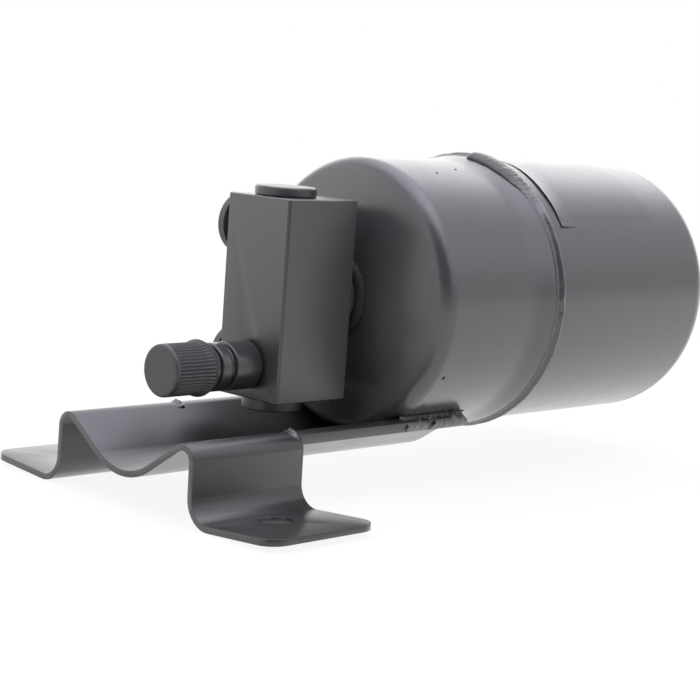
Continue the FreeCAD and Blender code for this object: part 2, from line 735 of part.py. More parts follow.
def is_foot_corner(edge, corner_x):
    ends = [vertex.Point for vertex in edge.Vertexes]
    outer = FOOT_END_Y - BRACKET_SHEET
    return all(abs(p.x - corner_x) < 1e-6 and abs(p.y) > outer for p in ends)


def bolt_hole(line, side):
    """Cutter square to the foot, through its middle line at BOLT_HOLE_Y."""
    foot_y, foot_z, _ = line[-2]
    toe = math.radians(FOOT_TOE)
    middle = Vector(0, side * BOLT_HOLE_Y, foot_z + (BOLT_HOLE_Y - foot_y) * math.tan(toe))
    up = Vector(0, -side * math.sin(toe), math.cos(toe))
    return rod(BOLT_HOLE_R, middle - up * BRACKET_SHEET, up, 2 * BRACKET_SHEET)


def bracket_weld(side, sheet, canister):
    """Fillet that fills the wedge between the canister and the sheet's crest
    and covers the trimmed edge. Its root runs inside the sheet and the
    canister, which are then cut away."""
    line = bracket_line()
    trough, crest, foot = line[3], line[4], line[5]
    centre, start, _ = bend(trough[:2], crest[:2], foot[:2], CREST_BEND)
    half_sheet = BRACKET_SHEET / 2
    across = TRIM_Y - centre[0]

    def crest_angle(radius):
        return math.degrees(math.acos(across / radius))

    trimmed = crest_angle(CREST_BEND)
    touching = math.degrees(math.atan2(start[1] - centre[1], start[0] - centre[0]))
    lower = polar(centre, CREST_BEND - half_sheet, crest_angle(CREST_BEND - half_sheet))
    toe = (BRACKET_WELD_TOE_Y, AXIS_Z - math.sqrt(FRONT_R**2 - BRACKET_WELD_TOE_Y**2))
    inside = (BRACKET_WELD_TOE_Y - half_sheet, toe[1] + half_sheet)
    contact = (start[0] + half_sheet, AXIS_Z - math.sqrt((FRONT_R - half_sheet)**2 - start[0]**2))
    root = polar(centre, CREST_BEND, (touching + 90) / 2)
    steps = [toe, (bulged(toe, lower, BRACKET_WELD_CROWN), lower),
             polar(centre, CREST_BEND, trimmed),
             (polar(centre, CREST_BEND, 90), root), contact, inside]
    face = section_along_x(*steps)
    bead = face.extrude(X * (BRACKET_WELD_TO - BRACKET_WELD_FROM))
    bead.translate(X * BRACKET_WELD_FROM)
    if side < 0:
        bead = bead.mirror(Vector(), Y)
    return bead.cut(canister).cut(sheet)


# Drying pack and pick-up tube

def tube_hole(from_x, length):
    return rod(TUBE_R + TUBE_HOLE_PLAY, Vector(from_x, 0, TUBE_Z), X, length)


def perforated(plate, from_x):
    """The plate with rings of holes, left out where the tube passes."""
    holes = []
    keep_off = TUBE_R + TUBE_HOLE_PLAY + 2 * HOLE_R
    for number in range(HOLE_RINGS):
        radius = HOLE_RING_STEP * (number + 2)
        count = HOLES_IN_FIRST_RING + HOLES_MORE_EACH_RING * number
        for place in range(count):
            y, z = polar((0, AXIS_Z), radius, 360 * place / count)
            if math.hypot(y, z - TUBE_Z) > keep_off:
                holes.append(rod(HOLE_R, Vector(from_x - PLATE, y, z), X, 3 * PLATE))
    return plate.cut(Part.makeCompound(holes)).cut(tube_hole(from_x - PLATE, 3 * PLATE))


def disc(from_x, length, radius):
    return rod(radius, Vector(from_x, 0, AXIS_Z), X, length)


def drying_pack():
    """Stack between the two plates: the rear plate's edge is held between the
    joggle and the rear cup, and the spring presses the front plate to it."""
    inner_r = FRONT_R - SHEET
    pack_r = inner_r - PACK_PLAY
    rear_x = LAP_X - PLATE
    pad_b = rear_x - PAD
    grains = pad_b - PACK_LENGTH
    pad_a = grains - PAD
    front_x = pad_a - PLATE
    hump_r = JOGGLE_ROUND_R - SHEET
    edge_r = MOUTH_RADIUS - JOGGLE_ROUND_R + math.sqrt(hump_r**2 - (PLATE - LAP_ENTRY)**2)
    rear_plate = perforated(disc(rear_x, PLATE, edge_r - LAP_GAP), rear_x)
    flange = disc(front_x - PLATE_FLANGE, PLATE_FLANGE, pack_r)
    flange = flange.cut(disc(front_x - PLATE_FLANGE, PLATE_FLANGE, pack_r - PLATE))
    front_plate = perforated(disc(front_x, PLATE, pack_r), front_x).fuse(flange)
    spring_x = FRONT_END_X + SHEET + inside_crown_rise(PACK_SPRING_R) + PACK_SPRING_GAP
    spring = coil(PACK_SPRING_R, PACK_SPRING_WIRE_R, PACK_SPRING_TURNS,
                  front_x - PACK_SPRING_GAP - spring_x, strips=2)
    spring = placed(spring, Vector(spring_x, 0, AXIS_Z), X)
    return {
        "rear_plate": rear_plate,
        "rear_filter_pad": disc(pad_b, PAD, pack_r).cut(tube_hole(pad_b, PAD)),
        "desiccant_pack": disc(grains, PACK_LENGTH, pack_r).cut(tube_hole(grains, PACK_LENGTH)),
        "front_filter_pad": disc(pad_a, PAD, pack_r).cut(tube_hole(pad_a, PAD)),
        "front_plate": front_plate,
        "pack_spring": spring,
    }


def inside_crown_rise(r):
    crown_r = FRONT_CROWN_R - SHEET
    return crown_r - math.sqrt(crown_r**2 - r**2)


def pickup_tube():
    """Round tube from the block, through the pack, bent down to the sump."""
    start = Vector(BLOCK_REAR_X - TUBE_SEAT, 0, TUBE_Z)
    bend_at = Vector(TUBE_BEND_X, 0, TUBE_Z)
    centre = Vector(TUBE_BEND_X, 0, TUBE_Z - TUBE_BEND_R)
    low = centre + X * TUBE_BEND_R

    def solid(radius):
        straight = rod(radius, start, X, TUBE_BEND_X - start.x)
        turn = Part.Face(Part.Wire(Part.Circle(bend_at, X, radius).toShape()))
        elbow = turn.revolve(centre, Y, 90)
        drop = rod(radius, low, -Z, low.z - TUBE_END_Z)
        return straight.fuse(elbow).fuse(drop)

    return solid(TUBE_R).cut(solid(TUBE_R - TUBE_WALL))


def pickup_strainer():
    """Perforated cup with a sleeve on the end of the tube."""
    floor = AXIS_Z - REAR_R + SHEET + STRAINER_GAP
    bore_r = TUBE_R + TUBE_FIT
    wall = STRAINER_WALL
    top = STRAINER_SHOULDER_Z
    cup = turned((0, floor), (STRAINER_R, floor), (STRAINER_R, top - wall),
                 (bore_r + wall, top), (bore_r + wall, top + STRAINER_SLEEVE),
                 (bore_r, top + STRAINER_SLEEVE), (bore_r, top - wall),
                 (STRAINER_R - wall, top - 2 * wall), (STRAINER_R - wall, floor + wall),
                 (0, floor + wall))
    holes = []
    pitch = (top - floor) / (STRAINER_ROWS + 2)
    for row in range(STRAINER_ROWS):
        base = Vector(0, 0, floor + pitch * (row + 1.5))
        for number in range(STRAINER_HOLES):
            turn = math.radians(360 / STRAINER_HOLES * (number + row % 2 / 2))
            way = Vector(math.cos(turn), math.sin(turn), 0)
            holes.append(rod(STRAINER_HOLE_R, base + way * TUBE_R, way, STRAINER_R))
    strainer = cup.cut(Part.makeCompound(holes))
    strainer.translate(Vector(TUBE_BEND_X + TUBE_BEND_R, 0, 0))
    return strainer


# All pieces

def pieces():
    block = connection_block()
    cup = front_cup()
    sheet = bracket()
    canister = disc(FRONT_END_X, MOUTH_X - FRONT_END_X, FRONT_R)
    parts = {
        "front_cup": cup,
        "rear_cup": rear_cup(),
        "seam_weld": seam_weld(),
        "connection_block": block,
        "neck_weld": neck_weld(block, cup),
        "bracket": sheet,
        "left_bracket_weld": bracket_weld(1, sheet, canister),
        "right_bracket_weld": bracket_weld(-1, sheet, canister),
        "service_valve_body": on_valve_axis(valve_body()),
        "valve_body_seal": on_valve_axis(valve_body_seal()),
        "valve_core_body": on_valve_axis(valve_core_body()),
        "valve_core_seal": on_valve_axis(valve_core_seal()),
        "valve_pin": on_valve_axis(valve_pin()),
        "pin_seal": on_valve_axis(pin_seal()),
        "valve_spring": on_valve_axis(valve_spring()),
        "service_cap": on_valve_axis(service_cap()),
        "cap_seal": on_valve_axis(cap_seal()),
        "pickup_tube": pickup_tube(),
        "pickup_strainer": pickup_strainer(),
    }
    parts.update(block_plugs())
    parts.update(drying_pack())
    return parts


os.makedirs("parts", exist_ok=True)
for name, shape in pieces().items():
    solid = shape if shape.ShapeType == "Solid" else shape.Solids[0]
    print(f"{name}: {len(shape.Solids)} solid, {shape.Volume:.1f} mm3, valid {shape.isValid()}")
    solid.exportStep(f"parts/{name}.step")
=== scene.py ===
"""Looks of a receiver drier: a black welded canister on a folded bracket.

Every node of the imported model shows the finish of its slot. Cups, welds, port
and cap are drawn again in finer form and replace their nodes, bracket and
block get rounded edges, and label film, torn metal and spatter are added.
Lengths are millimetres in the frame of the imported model, and points are turned
to metres as they go into a mesh.
"""
import json
import math

import bmesh
import bpy
import numpy as np
from mathutils import Matrix, Vector

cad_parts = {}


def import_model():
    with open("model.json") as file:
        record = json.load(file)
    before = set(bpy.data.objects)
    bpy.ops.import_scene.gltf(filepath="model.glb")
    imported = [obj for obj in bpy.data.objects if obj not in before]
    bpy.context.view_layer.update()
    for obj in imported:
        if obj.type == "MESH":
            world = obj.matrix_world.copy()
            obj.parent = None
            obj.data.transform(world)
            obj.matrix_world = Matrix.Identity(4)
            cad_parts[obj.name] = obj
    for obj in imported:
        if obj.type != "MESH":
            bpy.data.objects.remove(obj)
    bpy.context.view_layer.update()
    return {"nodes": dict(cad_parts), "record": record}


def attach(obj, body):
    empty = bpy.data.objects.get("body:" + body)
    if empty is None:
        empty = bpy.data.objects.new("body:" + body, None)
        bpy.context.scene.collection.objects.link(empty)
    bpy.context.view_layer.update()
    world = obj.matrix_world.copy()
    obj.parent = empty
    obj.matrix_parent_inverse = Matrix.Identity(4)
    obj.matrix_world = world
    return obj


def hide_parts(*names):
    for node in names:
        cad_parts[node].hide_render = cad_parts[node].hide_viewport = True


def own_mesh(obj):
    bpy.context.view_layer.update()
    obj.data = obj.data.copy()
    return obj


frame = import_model()

MM = 0.001
BODY = "drier"
X = np.array([1.0, 0.0, 0.0])
Z = np.array([0.0, 0.0, 1.0])

# Canister, as packed
AXIS_Z = 60.0
CANISTER = (np.array([0.0, 0.0, AXIS_Z]), X)
SHEET = 2.0
FRONT_R = 44.5
FRONT_END_X = 61.5
FRONT_CROWN_R = 175.0
FRONT_SHOULDER_R = 5.5
NECK_HOLE_R = 10.05
REAR_R = 45.3
REAR_END_X = 210.8
REAR_CROWN_R = 530.0
REAR_SHOULDER_R = 9.0
LAP_X = 115.27

# Mouth of the front cup, which flares over the rear cup
FLARE_X = 106.5
FLARE_END_X = 118.3
MOUTH_X = 120.5
MOUTH_R = 46.1
MOUTH_BORE_R = 45.35

# Weld over the mouth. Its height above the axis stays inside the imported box
SEAM_START_X = 117.9
SEAM_TOE_X = 118.45
SEAM_CROWN_X = 121.1
SEAM_LIMIT = 47.66

# Bend along the bracket's crests: centre (y, z), and a radius just inside the
# sheet's outer face
CREST = np.array([26.5, 18.3])
CREST_R = 4.8

# Welds between bracket and canister
BEAD_START_X = 68.6
BEAD_END_X = 98.0

# Service port and cap, as packed. The port's axis starts at the block's face
# and runs towards -X, and ends and openings are measured along it
PORT_X = 25.9
PORT_Z = 39.2
PORT = (np.array([PORT_X, 0.0, PORT_Z]), -X)
NOSE_R = 6.3
NOSE_END = 32.15
CAP_R = 8.0
CAP_OPEN = 18.2
CAP_LENGTH = 17.0


# Meshes

def make_piece(name, points, faces, material, body=BODY, replaces=()):
    """Mesh from an array of points in millimetres and index lists of faces,
    with doubles merged, faces outwards and smooth shading."""
    mesh = bpy.data.meshes.new(name)
    mesh.from_pydata((np.asarray(points).reshape(-1, 3) * MM).tolist(), [], faces)
    clean = bmesh.new()
    clean.from_mesh(mesh)
    bmesh.ops.remove_doubles(clean, verts=clean.verts, dist=2e-7)
    bmesh.ops.recalc_face_normals(clean, faces=clean.faces)
    clean.to_mesh(mesh)
    clean.free()
    mesh.shade_smooth()
    piece = bpy.data.objects.new(name, mesh)
    bpy.context.scene.collection.objects.link(piece)
    mesh.materials.append(material)
    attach(piece, body)
    if replaces:
        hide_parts(*replaces)


def grid_faces(rows, columns, wrap_rows=False, wrap_columns=False):
    """Quads of a grid of points, closed round either way if asked."""
    i, j = np.meshgrid(np.arange(rows if wrap_rows else rows - 1),
                       np.arange(columns if wrap_columns else columns - 1), indexing="ij")
    below, right = (i + 1) % rows, (j + 1) % columns
    quads = np.stack([i * columns + j, i * columns + right,
                      below * columns + right, below * columns + j], -1)
    return quads.reshape(-1, 4).tolist()


def softened(corners, steps=5):
    """Profile (n, 2) from corners (a, b, radius). A radius above 0 becomes an
    arc tangent to both sides, with a point a little before and after it, so
    that flat stretches next to it stay flat when shaded."""
    out = []
    for k, (a, b, radius) in enumerate(corners):
        here = np.array([a, b])
        if radius <= 0:
            out.append(here[None])
            continue
        u = np.array(corners[k - 1][:2]) - here
        v = np.array(corners[(k + 1) % len(corners)][:2]) - here
        lengths = np.linalg.norm(u), np.linalg.norm(v)
        u, v = u / lengths[0], v / lengths[1]
        half = math.acos(np.clip(u @ v, -1, 1)) / 2
        radius = min(radius, 0.46 * min(lengths) * math.tan(half))
        centre = here + (u + v) / np.linalg.norm(u + v) * radius / math.sin(half)
        along = radius / math.tan(half)
        start, end = here + u * along - centre, here + v * along - centre
        sweep = math.pi - 2 * half
        t = np.linspace(0, 1, steps)[:, None]
        arc = (np.sin((1 - t) * sweep) * start + np.sin(t * sweep) * end) / math.sin(sweep)
        shy = 0.2 * radius
        out += [(here + u * (along + shy))[None], centre + arc, (here + v * (along + shy))[None]]
    return np.concatenate(out)


def arc_profile(centre, radius, start, end, steps):
    """Points on a circle between two angles in degrees."""
    t = np.radians(np.linspace(start, end, steps))
    return np.stack([centre[0] + radius * np.cos(t), centre[1] + radius * np.sin(t)], 1)


def turned_points(profile, turns, axis):
    """Profile (radius, height) swept round a level axis (base, direction): the
    point at angle t is base + height * direction + radius * (cos t, sin t) in
    the plane across it, from the top. radius may be an array (turns, n)."""
    base, along = axis
    across = np.cross(along, Z)
    t = np.linspace(0, 2 * np.pi, turns, endpoint=False)[:, None, None]
    radius = np.broadcast_to(profile[..., 0], (turns, profile.shape[-2]))[..., None]
    height = np.broadcast_to(profile[..., 1], (turns, profile.shape[-2]))[..., None]
    return base + height * along + radius * (np.cos(t) * Z + np.sin(t) * across)


def turned_cup(name, profile, replaced, loop=True):
    """Turned cup from a profile. loop closes the profile on itself, else its
    ends lie on the axis."""
    turns = 256
    points = turned_points(profile, turns, CANISTER)
    faces = grid_faces(turns, points.shape[1], True, loop)
    make_piece(name, points, faces, canister_paint, replaces=[replaced])


def ripple(t):
    """Overlapping scallops of a weld bead, one for each whole t: a steep rise
    over the first quarter and a long fall over the rest."""
    phase = t - np.floor(t)
    rise = 0.25
    return np.where(phase < rise, phase / rise, (1 - phase) / (1 - rise)) ** 0.8


def waves(count, low, high, seed):
    """Smooth random function of one variable: count sines with random phase
    and a frequency between low and high, scaled to about -1..1."""
    draw = np.random.default_rng(seed)
    frequency = draw.uniform(low, high, count)
    phase = draw.uniform(0, 2 * np.pi, count)

    def value(t):
        t = np.asarray(t, float)[..., None]
        return np.sin(t * frequency + phase).sum(-1) / math.sqrt(count)

    return value


# Materials

def linear(colour):
    """sRGB hex colour as linear RGBA."""
    parts = [int(colour[k:k + 2], 16) / 255 for k in (1, 3, 5)]
    return [c / 12.92 if c <= 0.04045 else ((c + 0.055) / 1.055) ** 2.4 for c in parts] + [1.0]


def per_mm(size):
    """Texture scale, per metre, of a pattern whose cells measure size mm."""
    return 1 / (size * MM)


def add(tree, kind, inputs=None, **fields):
    """Adds a node. fields are its settings, and inputs are values or outputs
    to link, by the input's name or number."""
    made = tree.nodes.new(kind)
    for name, value in fields.items():
        setattr(made, name, value)
    for name, value in (inputs or {}).items():
        if isinstance(value, bpy.types.NodeSocket):
            tree.links.new(value, made.inputs[name])
        else:
            made.inputs[name].default_value = value
    return made


def new_material(name):
    """Material with an empty node tree, and that tree."""
    material = bpy.data.materials.new(name)
    material.use_nodes = True
    material.node_tree.nodes.clear()
    return material, material.node_tree


def finish_material(tree, shader):
    """Puts the shader on the surface."""
    add(tree, "ShaderNodeOutputMaterial", {"Surface": shader.outputs[0]})


def paint(name, dark, light, rough, peel_mm, peel_depth, cloud_mm=35.0, grit=0.0, coat=0.9):
    """Sprayed black paint on metal, under a skin of clear binder that shines
    at grazing angles. dark and light bound its slow drift in colour, rough is
    (low, high) roughness in patches a few millimetres wide, peel is the orange
    peel left as the paint dries, and grit is the share of dust that dried in,
    drawn as coarse as it needs to show."""
    material, tree = new_material(name)
    dust_mm, patch_mm = 0.35, 9.0
    place = add(tree, "ShaderNodeTexCoord").outputs["Object"]
    cloud = add(tree, "ShaderNodeTexNoise", {"Vector": place, "Scale": per_mm(cloud_mm), "Detail": 3.0})
    tone = add(tree, "ShaderNodeMix", {0: cloud.outputs["Fac"], 6: linear(dark), 7: linear(light)},
               data_type="RGBA")
    fine = add(tree, "ShaderNodeTexNoise", {"Vector": place, "Scale": per_mm(dust_mm), "Detail": 2.0})
    dust = add(tree, "ShaderNodeMapRange", {0: fine.outputs["Fac"], 1: 0.70, 2: 0.80, 3: 0.0, 4: grit})
    colour = add(tree, "ShaderNodeMix", {0: dust.outputs[0], 6: tone.outputs[2], 7: linear("#8d8c88")},
                 data_type="RGBA")
    patch = add(tree, "ShaderNodeTexNoise", {"Vector": place, "Scale": per_mm(patch_mm), "Detail": 4.0})
    gloss = add(tree, "ShaderNodeMapRange",
                {0: patch.outputs["Fac"], 1: 0.3, 2: 0.7, 3: rough[0], 4: rough[1]})
    peel = add(tree, "ShaderNodeTexNoise", {"Vector": place, "Scale": per_mm(peel_mm), "Detail": 2.0})
    bump = add(tree, "ShaderNodeBump",
               {"Height": peel.outputs["Fac"], "Distance": peel_depth * MM, "Strength": 1.0})
    shader = add(tree, "ShaderNodeBsdfPrincipled",
                 {"Base Color": colour.outputs[2], "Roughness": gloss.outputs[0],
                  "Normal": bump.outputs[0], "IOR": 1.5, "Coat Weight": coat,
                  "Coat Roughness": 0.5 * (rough[0] + rough[1]), "Coat IOR": 1.5,
                  "Coat Normal": bump.outputs[0]})
    finish_material(tree, shader)
    return material


def metal(name, dark, light, rough, grain_mm, stretch=(1, 1, 1), depth=0.004):
    """Bare metal with the fine marks that drawing or turning left, longer
    along the axes where stretch is small."""
    material, tree = new_material(name)
    place = add(tree, "ShaderNodeTexCoord").outputs["Object"]
    drawn = add(tree, "ShaderNodeMapping", {"Vector": place, "Scale": stretch})
    grain = add(tree, "ShaderNodeTexNoise",
                {"Vector": drawn.outputs[0], "Scale": per_mm(grain_mm), "Detail": 4.0})
    tone = add(tree, "ShaderNodeMix", {0: grain.outputs["Fac"], 6: linear(dark), 7: linear(light)},
               data_type="RGBA")
    gloss = add(tree, "ShaderNodeMapRange", {0: grain.outputs["Fac"], 3: rough[0], 4: rough[1]})
    bump = add(tree, "ShaderNodeBump", {"Height": grain.outputs["Fac"], "Distance": depth * MM})
    shader = add(tree, "ShaderNodeBsdfPrincipled",
                 {"Base Color": tone.outputs[2], "Roughness": gloss.outputs[0], "Metallic": 1.0,
                  "Normal": bump.outputs[0]})
    finish_material(tree, shader)
    return material


def soft_solid(name, dark, light, rough, grain_mm, depth, cells=False):
    """Rubber, moulded plastic, felt or packed beads: a dull dielectric whose
    surface is a fine grain, or round cells for beads."""
    material, tree = new_material(name)
    place = add(tree, "ShaderNodeTexCoord").outputs["Object"]
    kind = "ShaderNodeTexVoronoi" if cells else "ShaderNodeTexNoise"
    grain = add(tree, kind, {"Vector": place, "Scale": per_mm(grain_mm)})
    height = grain.outputs["Distance" if cells else "Fac"]
    tone = add(tree, "ShaderNodeMix", {0: height, 6: linear(light if cells else dark),
                                       7: linear(dark if cells else light)}, data_type="RGBA")
    bump = add(tree, "ShaderNodeBump", {"Height": height, "Distance": depth * MM},
               invert=cells)
    shader = add(tree, "ShaderNodeBsdfPrincipled",
                 {"Base Color": tone.outputs[2], "Roughness": rough, "Normal": bump.outputs[0],
                  "IOR": 1.47})
    finish_material(tree, shader)
    return material


# Stoved paint on a drawn can: smooth and hard, with an orange peel that only
# just breaks up the long soft highlights
canister_paint = paint("stoved_black_paint_on_drawn_steel", "#424244", "#49494b", (0.25, 0.31),
                       1.6, 0.006, coat=0.93)

# The same paint on pressed sheet, finer in grain and a little dusty, and much darker: partly the sheet's
# own darker look, partly painted shade for the trough, which block and canister shade
bracket_paint = paint("black_sheet_paint_with_painted_shade", "#19191a", "#1f1f20", (0.29, 0.37),
                      1.2, 0.008, grit=0.15, coat=1.0)

# Paint on a rough bead, cloudy from ripple to ripple and much lighter grey than the canister's paint:
# partly the bead's own greyer look, partly painted light standing in for the strong light from below on
# the bead
weld_paint = paint("black_weld_paint_with_painted_light", "#545452", "#666661", (0.36, 0.5), 0.7, 0.02,
                   cloud_mm=4.0, grit=0.2, coat=0.9)

# Satin paint on milled faces: flat and even, with broad dull reflections
block_paint = paint("satin_black_paint_on_machined_block", "#363637", "#3e3e3f", (0.32, 0.40),
                    1.0, 0.006, coat=0.92)

# The plugs took less paint and look duller and darker than the block
closer_paint = paint("satin_black_paint_on_plug", "#2d2d2e", "#363637", (0.34, 0.44), 0.9, 0.006,
                     coat=0.8)

# Paint on a turned port keeps narrow bright lines along its steps
valve_paint = paint("black_paint_on_turned_port", "#2e2e2f", "#383839", (0.26, 0.36), 0.8, 0.006,
                    coat=0.8)

# Moulded plastic shines weakly and evenly, and looks grey next to the paint
cap_plastic = soft_solid("moulded_black_cap", "#404042", "#4a4a4b", 0.36, 0.5, 0.006)
transit_plastic = soft_solid("moulded_black_plug", "#4d4d4e", "#575758", 0.45, 0.5, 0.006)

# Rubber swallows light: near black, with hardly a highlight
seal_rubber = soft_solid("moulded_seal_rubber", "#141414", "#1e1e1e", 0.6, 0.4, 0.006)

# Brass from the lathe is warm yellow with a tight sheen
core_brass = metal("turned_brass", "#c6a255", "#dcbb74", (0.22, 0.32), 0.25)

# Drawn wire is bright grey, and tube and plate show their drawing marks as
# streaks along the way that they were drawn or rolled
spring_steel = metal("drawn_spring_wire", "#a9abae", "#c3c5c8", (0.25, 0.35), 0.2)
tube_steel = metal("drawn_steel_tube", "#a7a9ab", "#c0c2c4", (0.28, 0.4), 0.5, (0.05, 1, 1))
plate_steel = metal("rolled_steel_plate", "#a2a4a6", "#bcbec0", (0.3, 0.45), 0.6, (1, 0.08, 1))

# Felt is matt and fibrous, and the bag shows the beads pressing through it
filter_felt = soft_solid("pressed_felt", "#c4bda9", "#ddd7c7", 0.95, 0.6, 0.25)
desiccant_bag = soft_solid("bag_of_drying_beads", "#8f7f62", "#c9bb9c", 0.8, 2.4, 0.6, cells=True)


def recoloured_copy(material, mask_from, colour, rough):
    """Gives a copy of a paint another colour and roughness where mask_from
    says, a function from the tree and Object coordinates to a 0..1 output."""
    changed = material.copy()
    tree = changed.node_tree
    shader = next(node for node in tree.nodes if node.type == "BSDF_PRINCIPLED")
    place = add(tree, "ShaderNodeTexCoord").outputs["Object"]
    mask = mask_from(tree, place)
    base = shader.inputs["Base Color"].links[0].from_socket
    dull = shader.inputs["Roughness"].links[0].from_socket
    tone = add(tree, "ShaderNodeMix", {0: mask, 6: base, 7: linear(colour)}, data_type="RGBA")
    gloss = add(tree, "ShaderNodeMix", {0: mask, 2: dull, 3: rough})
    tree.links.new(tone.outputs[2], shader.inputs["Base Color"])
    tree.links.new(gloss.outputs[0], shader.inputs["Roughness"])
    return changed


def over_the_top(tree, place):
    """1 where the seam's rough start and end lie, just past the top, but for
    their bright rear edge: the product of a ramp along each axis."""
    parts = add(tree, "ShaderNodeSeparateXYZ", {0: place})
    ramps = {"Z": (96.0, 101.0), "Y": (-3.0, -4.5), "X": (124.2, 123.0)}
    share = 1.0
    for axis, (start, end) in ramps.items():
        ramp = add(tree, "ShaderNodeMapRange", {0: parts.outputs[axis], 1: start * MM, 2: end * MM})
        share = add(tree, "ShaderNodeMath", {0: share, 1: ramp.outputs[0]},
                    operation="MULTIPLY").outputs[0]
    return share


def pit_painted_shade(tree, place):
    """1 inside the few burnt pits of the bracket's near weld, each (x, y, z, radius) in millimetres, with
    a soft edge. The near black given there is painted shade, for the depth that these shallow dents lack."""
    pits = [(80.3, -29.6, 22.2, 1.5), (79.3, -30.0, 20.4, 1.2), (88.8, -29.0, 23.0, 0.8),
            (93.9, -29.2, 22.8, 0.8), (68.5, -29.5, 21.4, 0.7)]
    deepest = 0.0
    for x, y, z, radius in pits:
        away = add(tree, "ShaderNodeVectorMath", {0: place, 1: (x * MM, y * MM, z * MM)},
                   operation="DISTANCE")
        pit = add(tree, "ShaderNodeMapRange", {0: away.outputs["Value"], 1: 0.55 * radius * MM,
                                               2: 1.15 * radius * MM, 3: 1.0, 4: 0.0})
        deepest = add(tree, "ShaderNodeMath", {0: deepest, 1: pit.outputs[0]},
                      operation="MAXIMUM").outputs[0]
    return deepest


# The seam was laid in one smooth run and shines like the canister, but is
# matt and brownish where it starts and ends, past the top
seam_run_paint = paint("black_paint_on_smooth_seam_weld", "#464648", "#4e4e50", (0.22, 0.30),
                       0.9, 0.012, cloud_mm=8.0)
seam_paint = recoloured_copy(seam_run_paint, over_the_top, "#2a2925", 0.9)
seam_paint.name = "black_paint_over_seam_weld"

# The burnt pits are painted near black: painted shade for the depth that their shallow dents lack
bead_paint = recoloured_copy(weld_paint, pit_painted_shade, "#0b0b0b", 0.7)
bead_paint.name = "weld_paint_with_painted_light_and_pit_shade"

# The weld behind the block is near black and dull: painted shade for the dark gap between block and front
# end
neck_painted_shade = paint("neck_weld_paint_darkened_as_shade", "#0c0c0d", "#111112", (0.6, 0.7), 0.7, 0.02,
                   coat=0.0)

# Spatter: small near black dots with a weak shine
spatter_paint = paint("near_black_spatter", "#151515", "#1d1d1c", (0.5, 0.7), 0.5, 0.01,
                      coat=0.5)

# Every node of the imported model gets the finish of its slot
slot_materials = {
    "canister_paint": canister_paint, "bracket_paint": bracket_paint, "weld_paint": weld_paint,
    "block_paint": block_paint, "closer_paint": closer_paint, "valve_paint": valve_paint,
    "transit_plastic": transit_plastic, "cap_plastic": cap_plastic, "core_brass": core_brass,
    "seal_rubber": seal_rubber, "spring_steel": spring_steel, "tube_steel": tube_steel,
    "plate_steel": plate_steel, "filter_felt": filter_felt, "desiccant_bag": desiccant_bag,
}
for part in frame["record"]["subparts"]:
    mesh = frame["nodes"][part["node"]].data
    mesh.materials.clear()
    mesh.materials.append(slot_materials[part["material_slot"]])


# Canister

def dome_profile(apex, way, crown_r, shoulder_r, body_r, from_r, steps=14):
    """Crowned end from radius from_r out to the body: an arc of crown_r about
    the axis, and the shoulder's arc tangent to it and to the body. apex is its
    outermost X, and way is 1 if the body lies towards +X and -1 if not."""
    centre = apex + way * crown_r
    reach = crown_r - shoulder_r
    shoulder = (body_r - shoulder_r, centre - way * math.sqrt(reach**2 - (body_r - shoulder_r)**2))
    slope = math.atan2(shoulder[1] - centre, shoulder[0])
    r = np.linspace(from_r, crown_r * math.cos(slope), steps)
    crown = np.stack([r, centre - way * np.sqrt(crown_r**2 - r**2)], 1)
    bend = arc_profile(shoulder, shoulder_r, math.degrees(slope), 0, steps)
    return np.concatenate([crown, bend[1:]])


def mouth_profiles(steps=30):
    """Outer and inner face of the front cup's mouth. Outside, radius = the
    body's + rise * (1.6 u^2 - 0.6 u^4), where u goes from 0 to 1 along the
    flare. Inside, an S curve opens the bore for the rear cup, and the wall
    keeps a least thickness."""
    least_wall = 0.3
    x = np.linspace(FLARE_X, FLARE_END_X, steps)
    u = (x - FLARE_X) / (FLARE_END_X - FLARE_X)
    outer = FRONT_R + (MOUTH_R - FRONT_R) * (1.6 * u**2 - 0.6 * u**4)
    w = np.clip((x - FLARE_X - 0.5) / 7.6, 0, 1)
    bore = FRONT_R - SHEET + (MOUTH_BORE_R - FRONT_R + SHEET) * (3 * w**2 - 2 * w**3)
    return np.stack([outer, x], 1), np.stack([np.minimum(bore, outer - least_wall), x], 1)


def front_cup():
    """Cup with a hole for the neck, whose mouth laps over the rear cup."""
    outer = dome_profile(FRONT_END_X, 1, FRONT_CROWN_R, FRONT_SHOULDER_R, FRONT_R, NECK_HOLE_R)
    inner = dome_profile(FRONT_END_X + SHEET, 1, FRONT_CROWN_R - SHEET, FRONT_SHOULDER_R - SHEET,
                         FRONT_R - SHEET, NECK_HOLE_R)
    edge = 0.2
    rim = softened([(MOUTH_R, MOUTH_X - 1.5, 0), (MOUTH_R, MOUTH_X, edge),
                    (MOUTH_BORE_R, MOUTH_X, edge), (MOUTH_BORE_R, MOUTH_X - 3, 0)])
    flare, bell = mouth_profiles()
    profile = np.concatenate([outer, flare, rim, bell[::-1], inner[::-1]])
    turned_cup("front_cup_shell", profile, "front_cup")


def rear_cup():
    """Cup with a closed, slightly crowned end, whose edge lies in the lap."""
    outer = dome_profile(REAR_END_X, -1, REAR_CROWN_R, REAR_SHOULDER_R, REAR_R, 0.0)
    inner = dome_profile(REAR_END_X - SHEET, -1, REAR_CROWN_R - SHEET, REAR_SHOULDER_R - SHEET,
                         REAR_R - SHEET, 0.0)
    edge = 0.3
    rim = softened([(REAR_R, LAP_X + 3, 0), (REAR_R, LAP_X, edge), (REAR_R - SHEET, LAP_X, edge),
                    (REAR_R - SHEET, LAP_X + 3, 0)])
    profile = np.concatenate([outer, rim, inner[::-1]])
    turned_cup("rear_cup_shell", profile, "rear_cup", loop=False)


def window(t, start, end, soft):
    """About 1 between start and end and 0 outside, with edges soft wide."""
    return 1 / (1 + np.exp(-(t - start) / soft)) / (1 + np.exp((t - end) / soft))


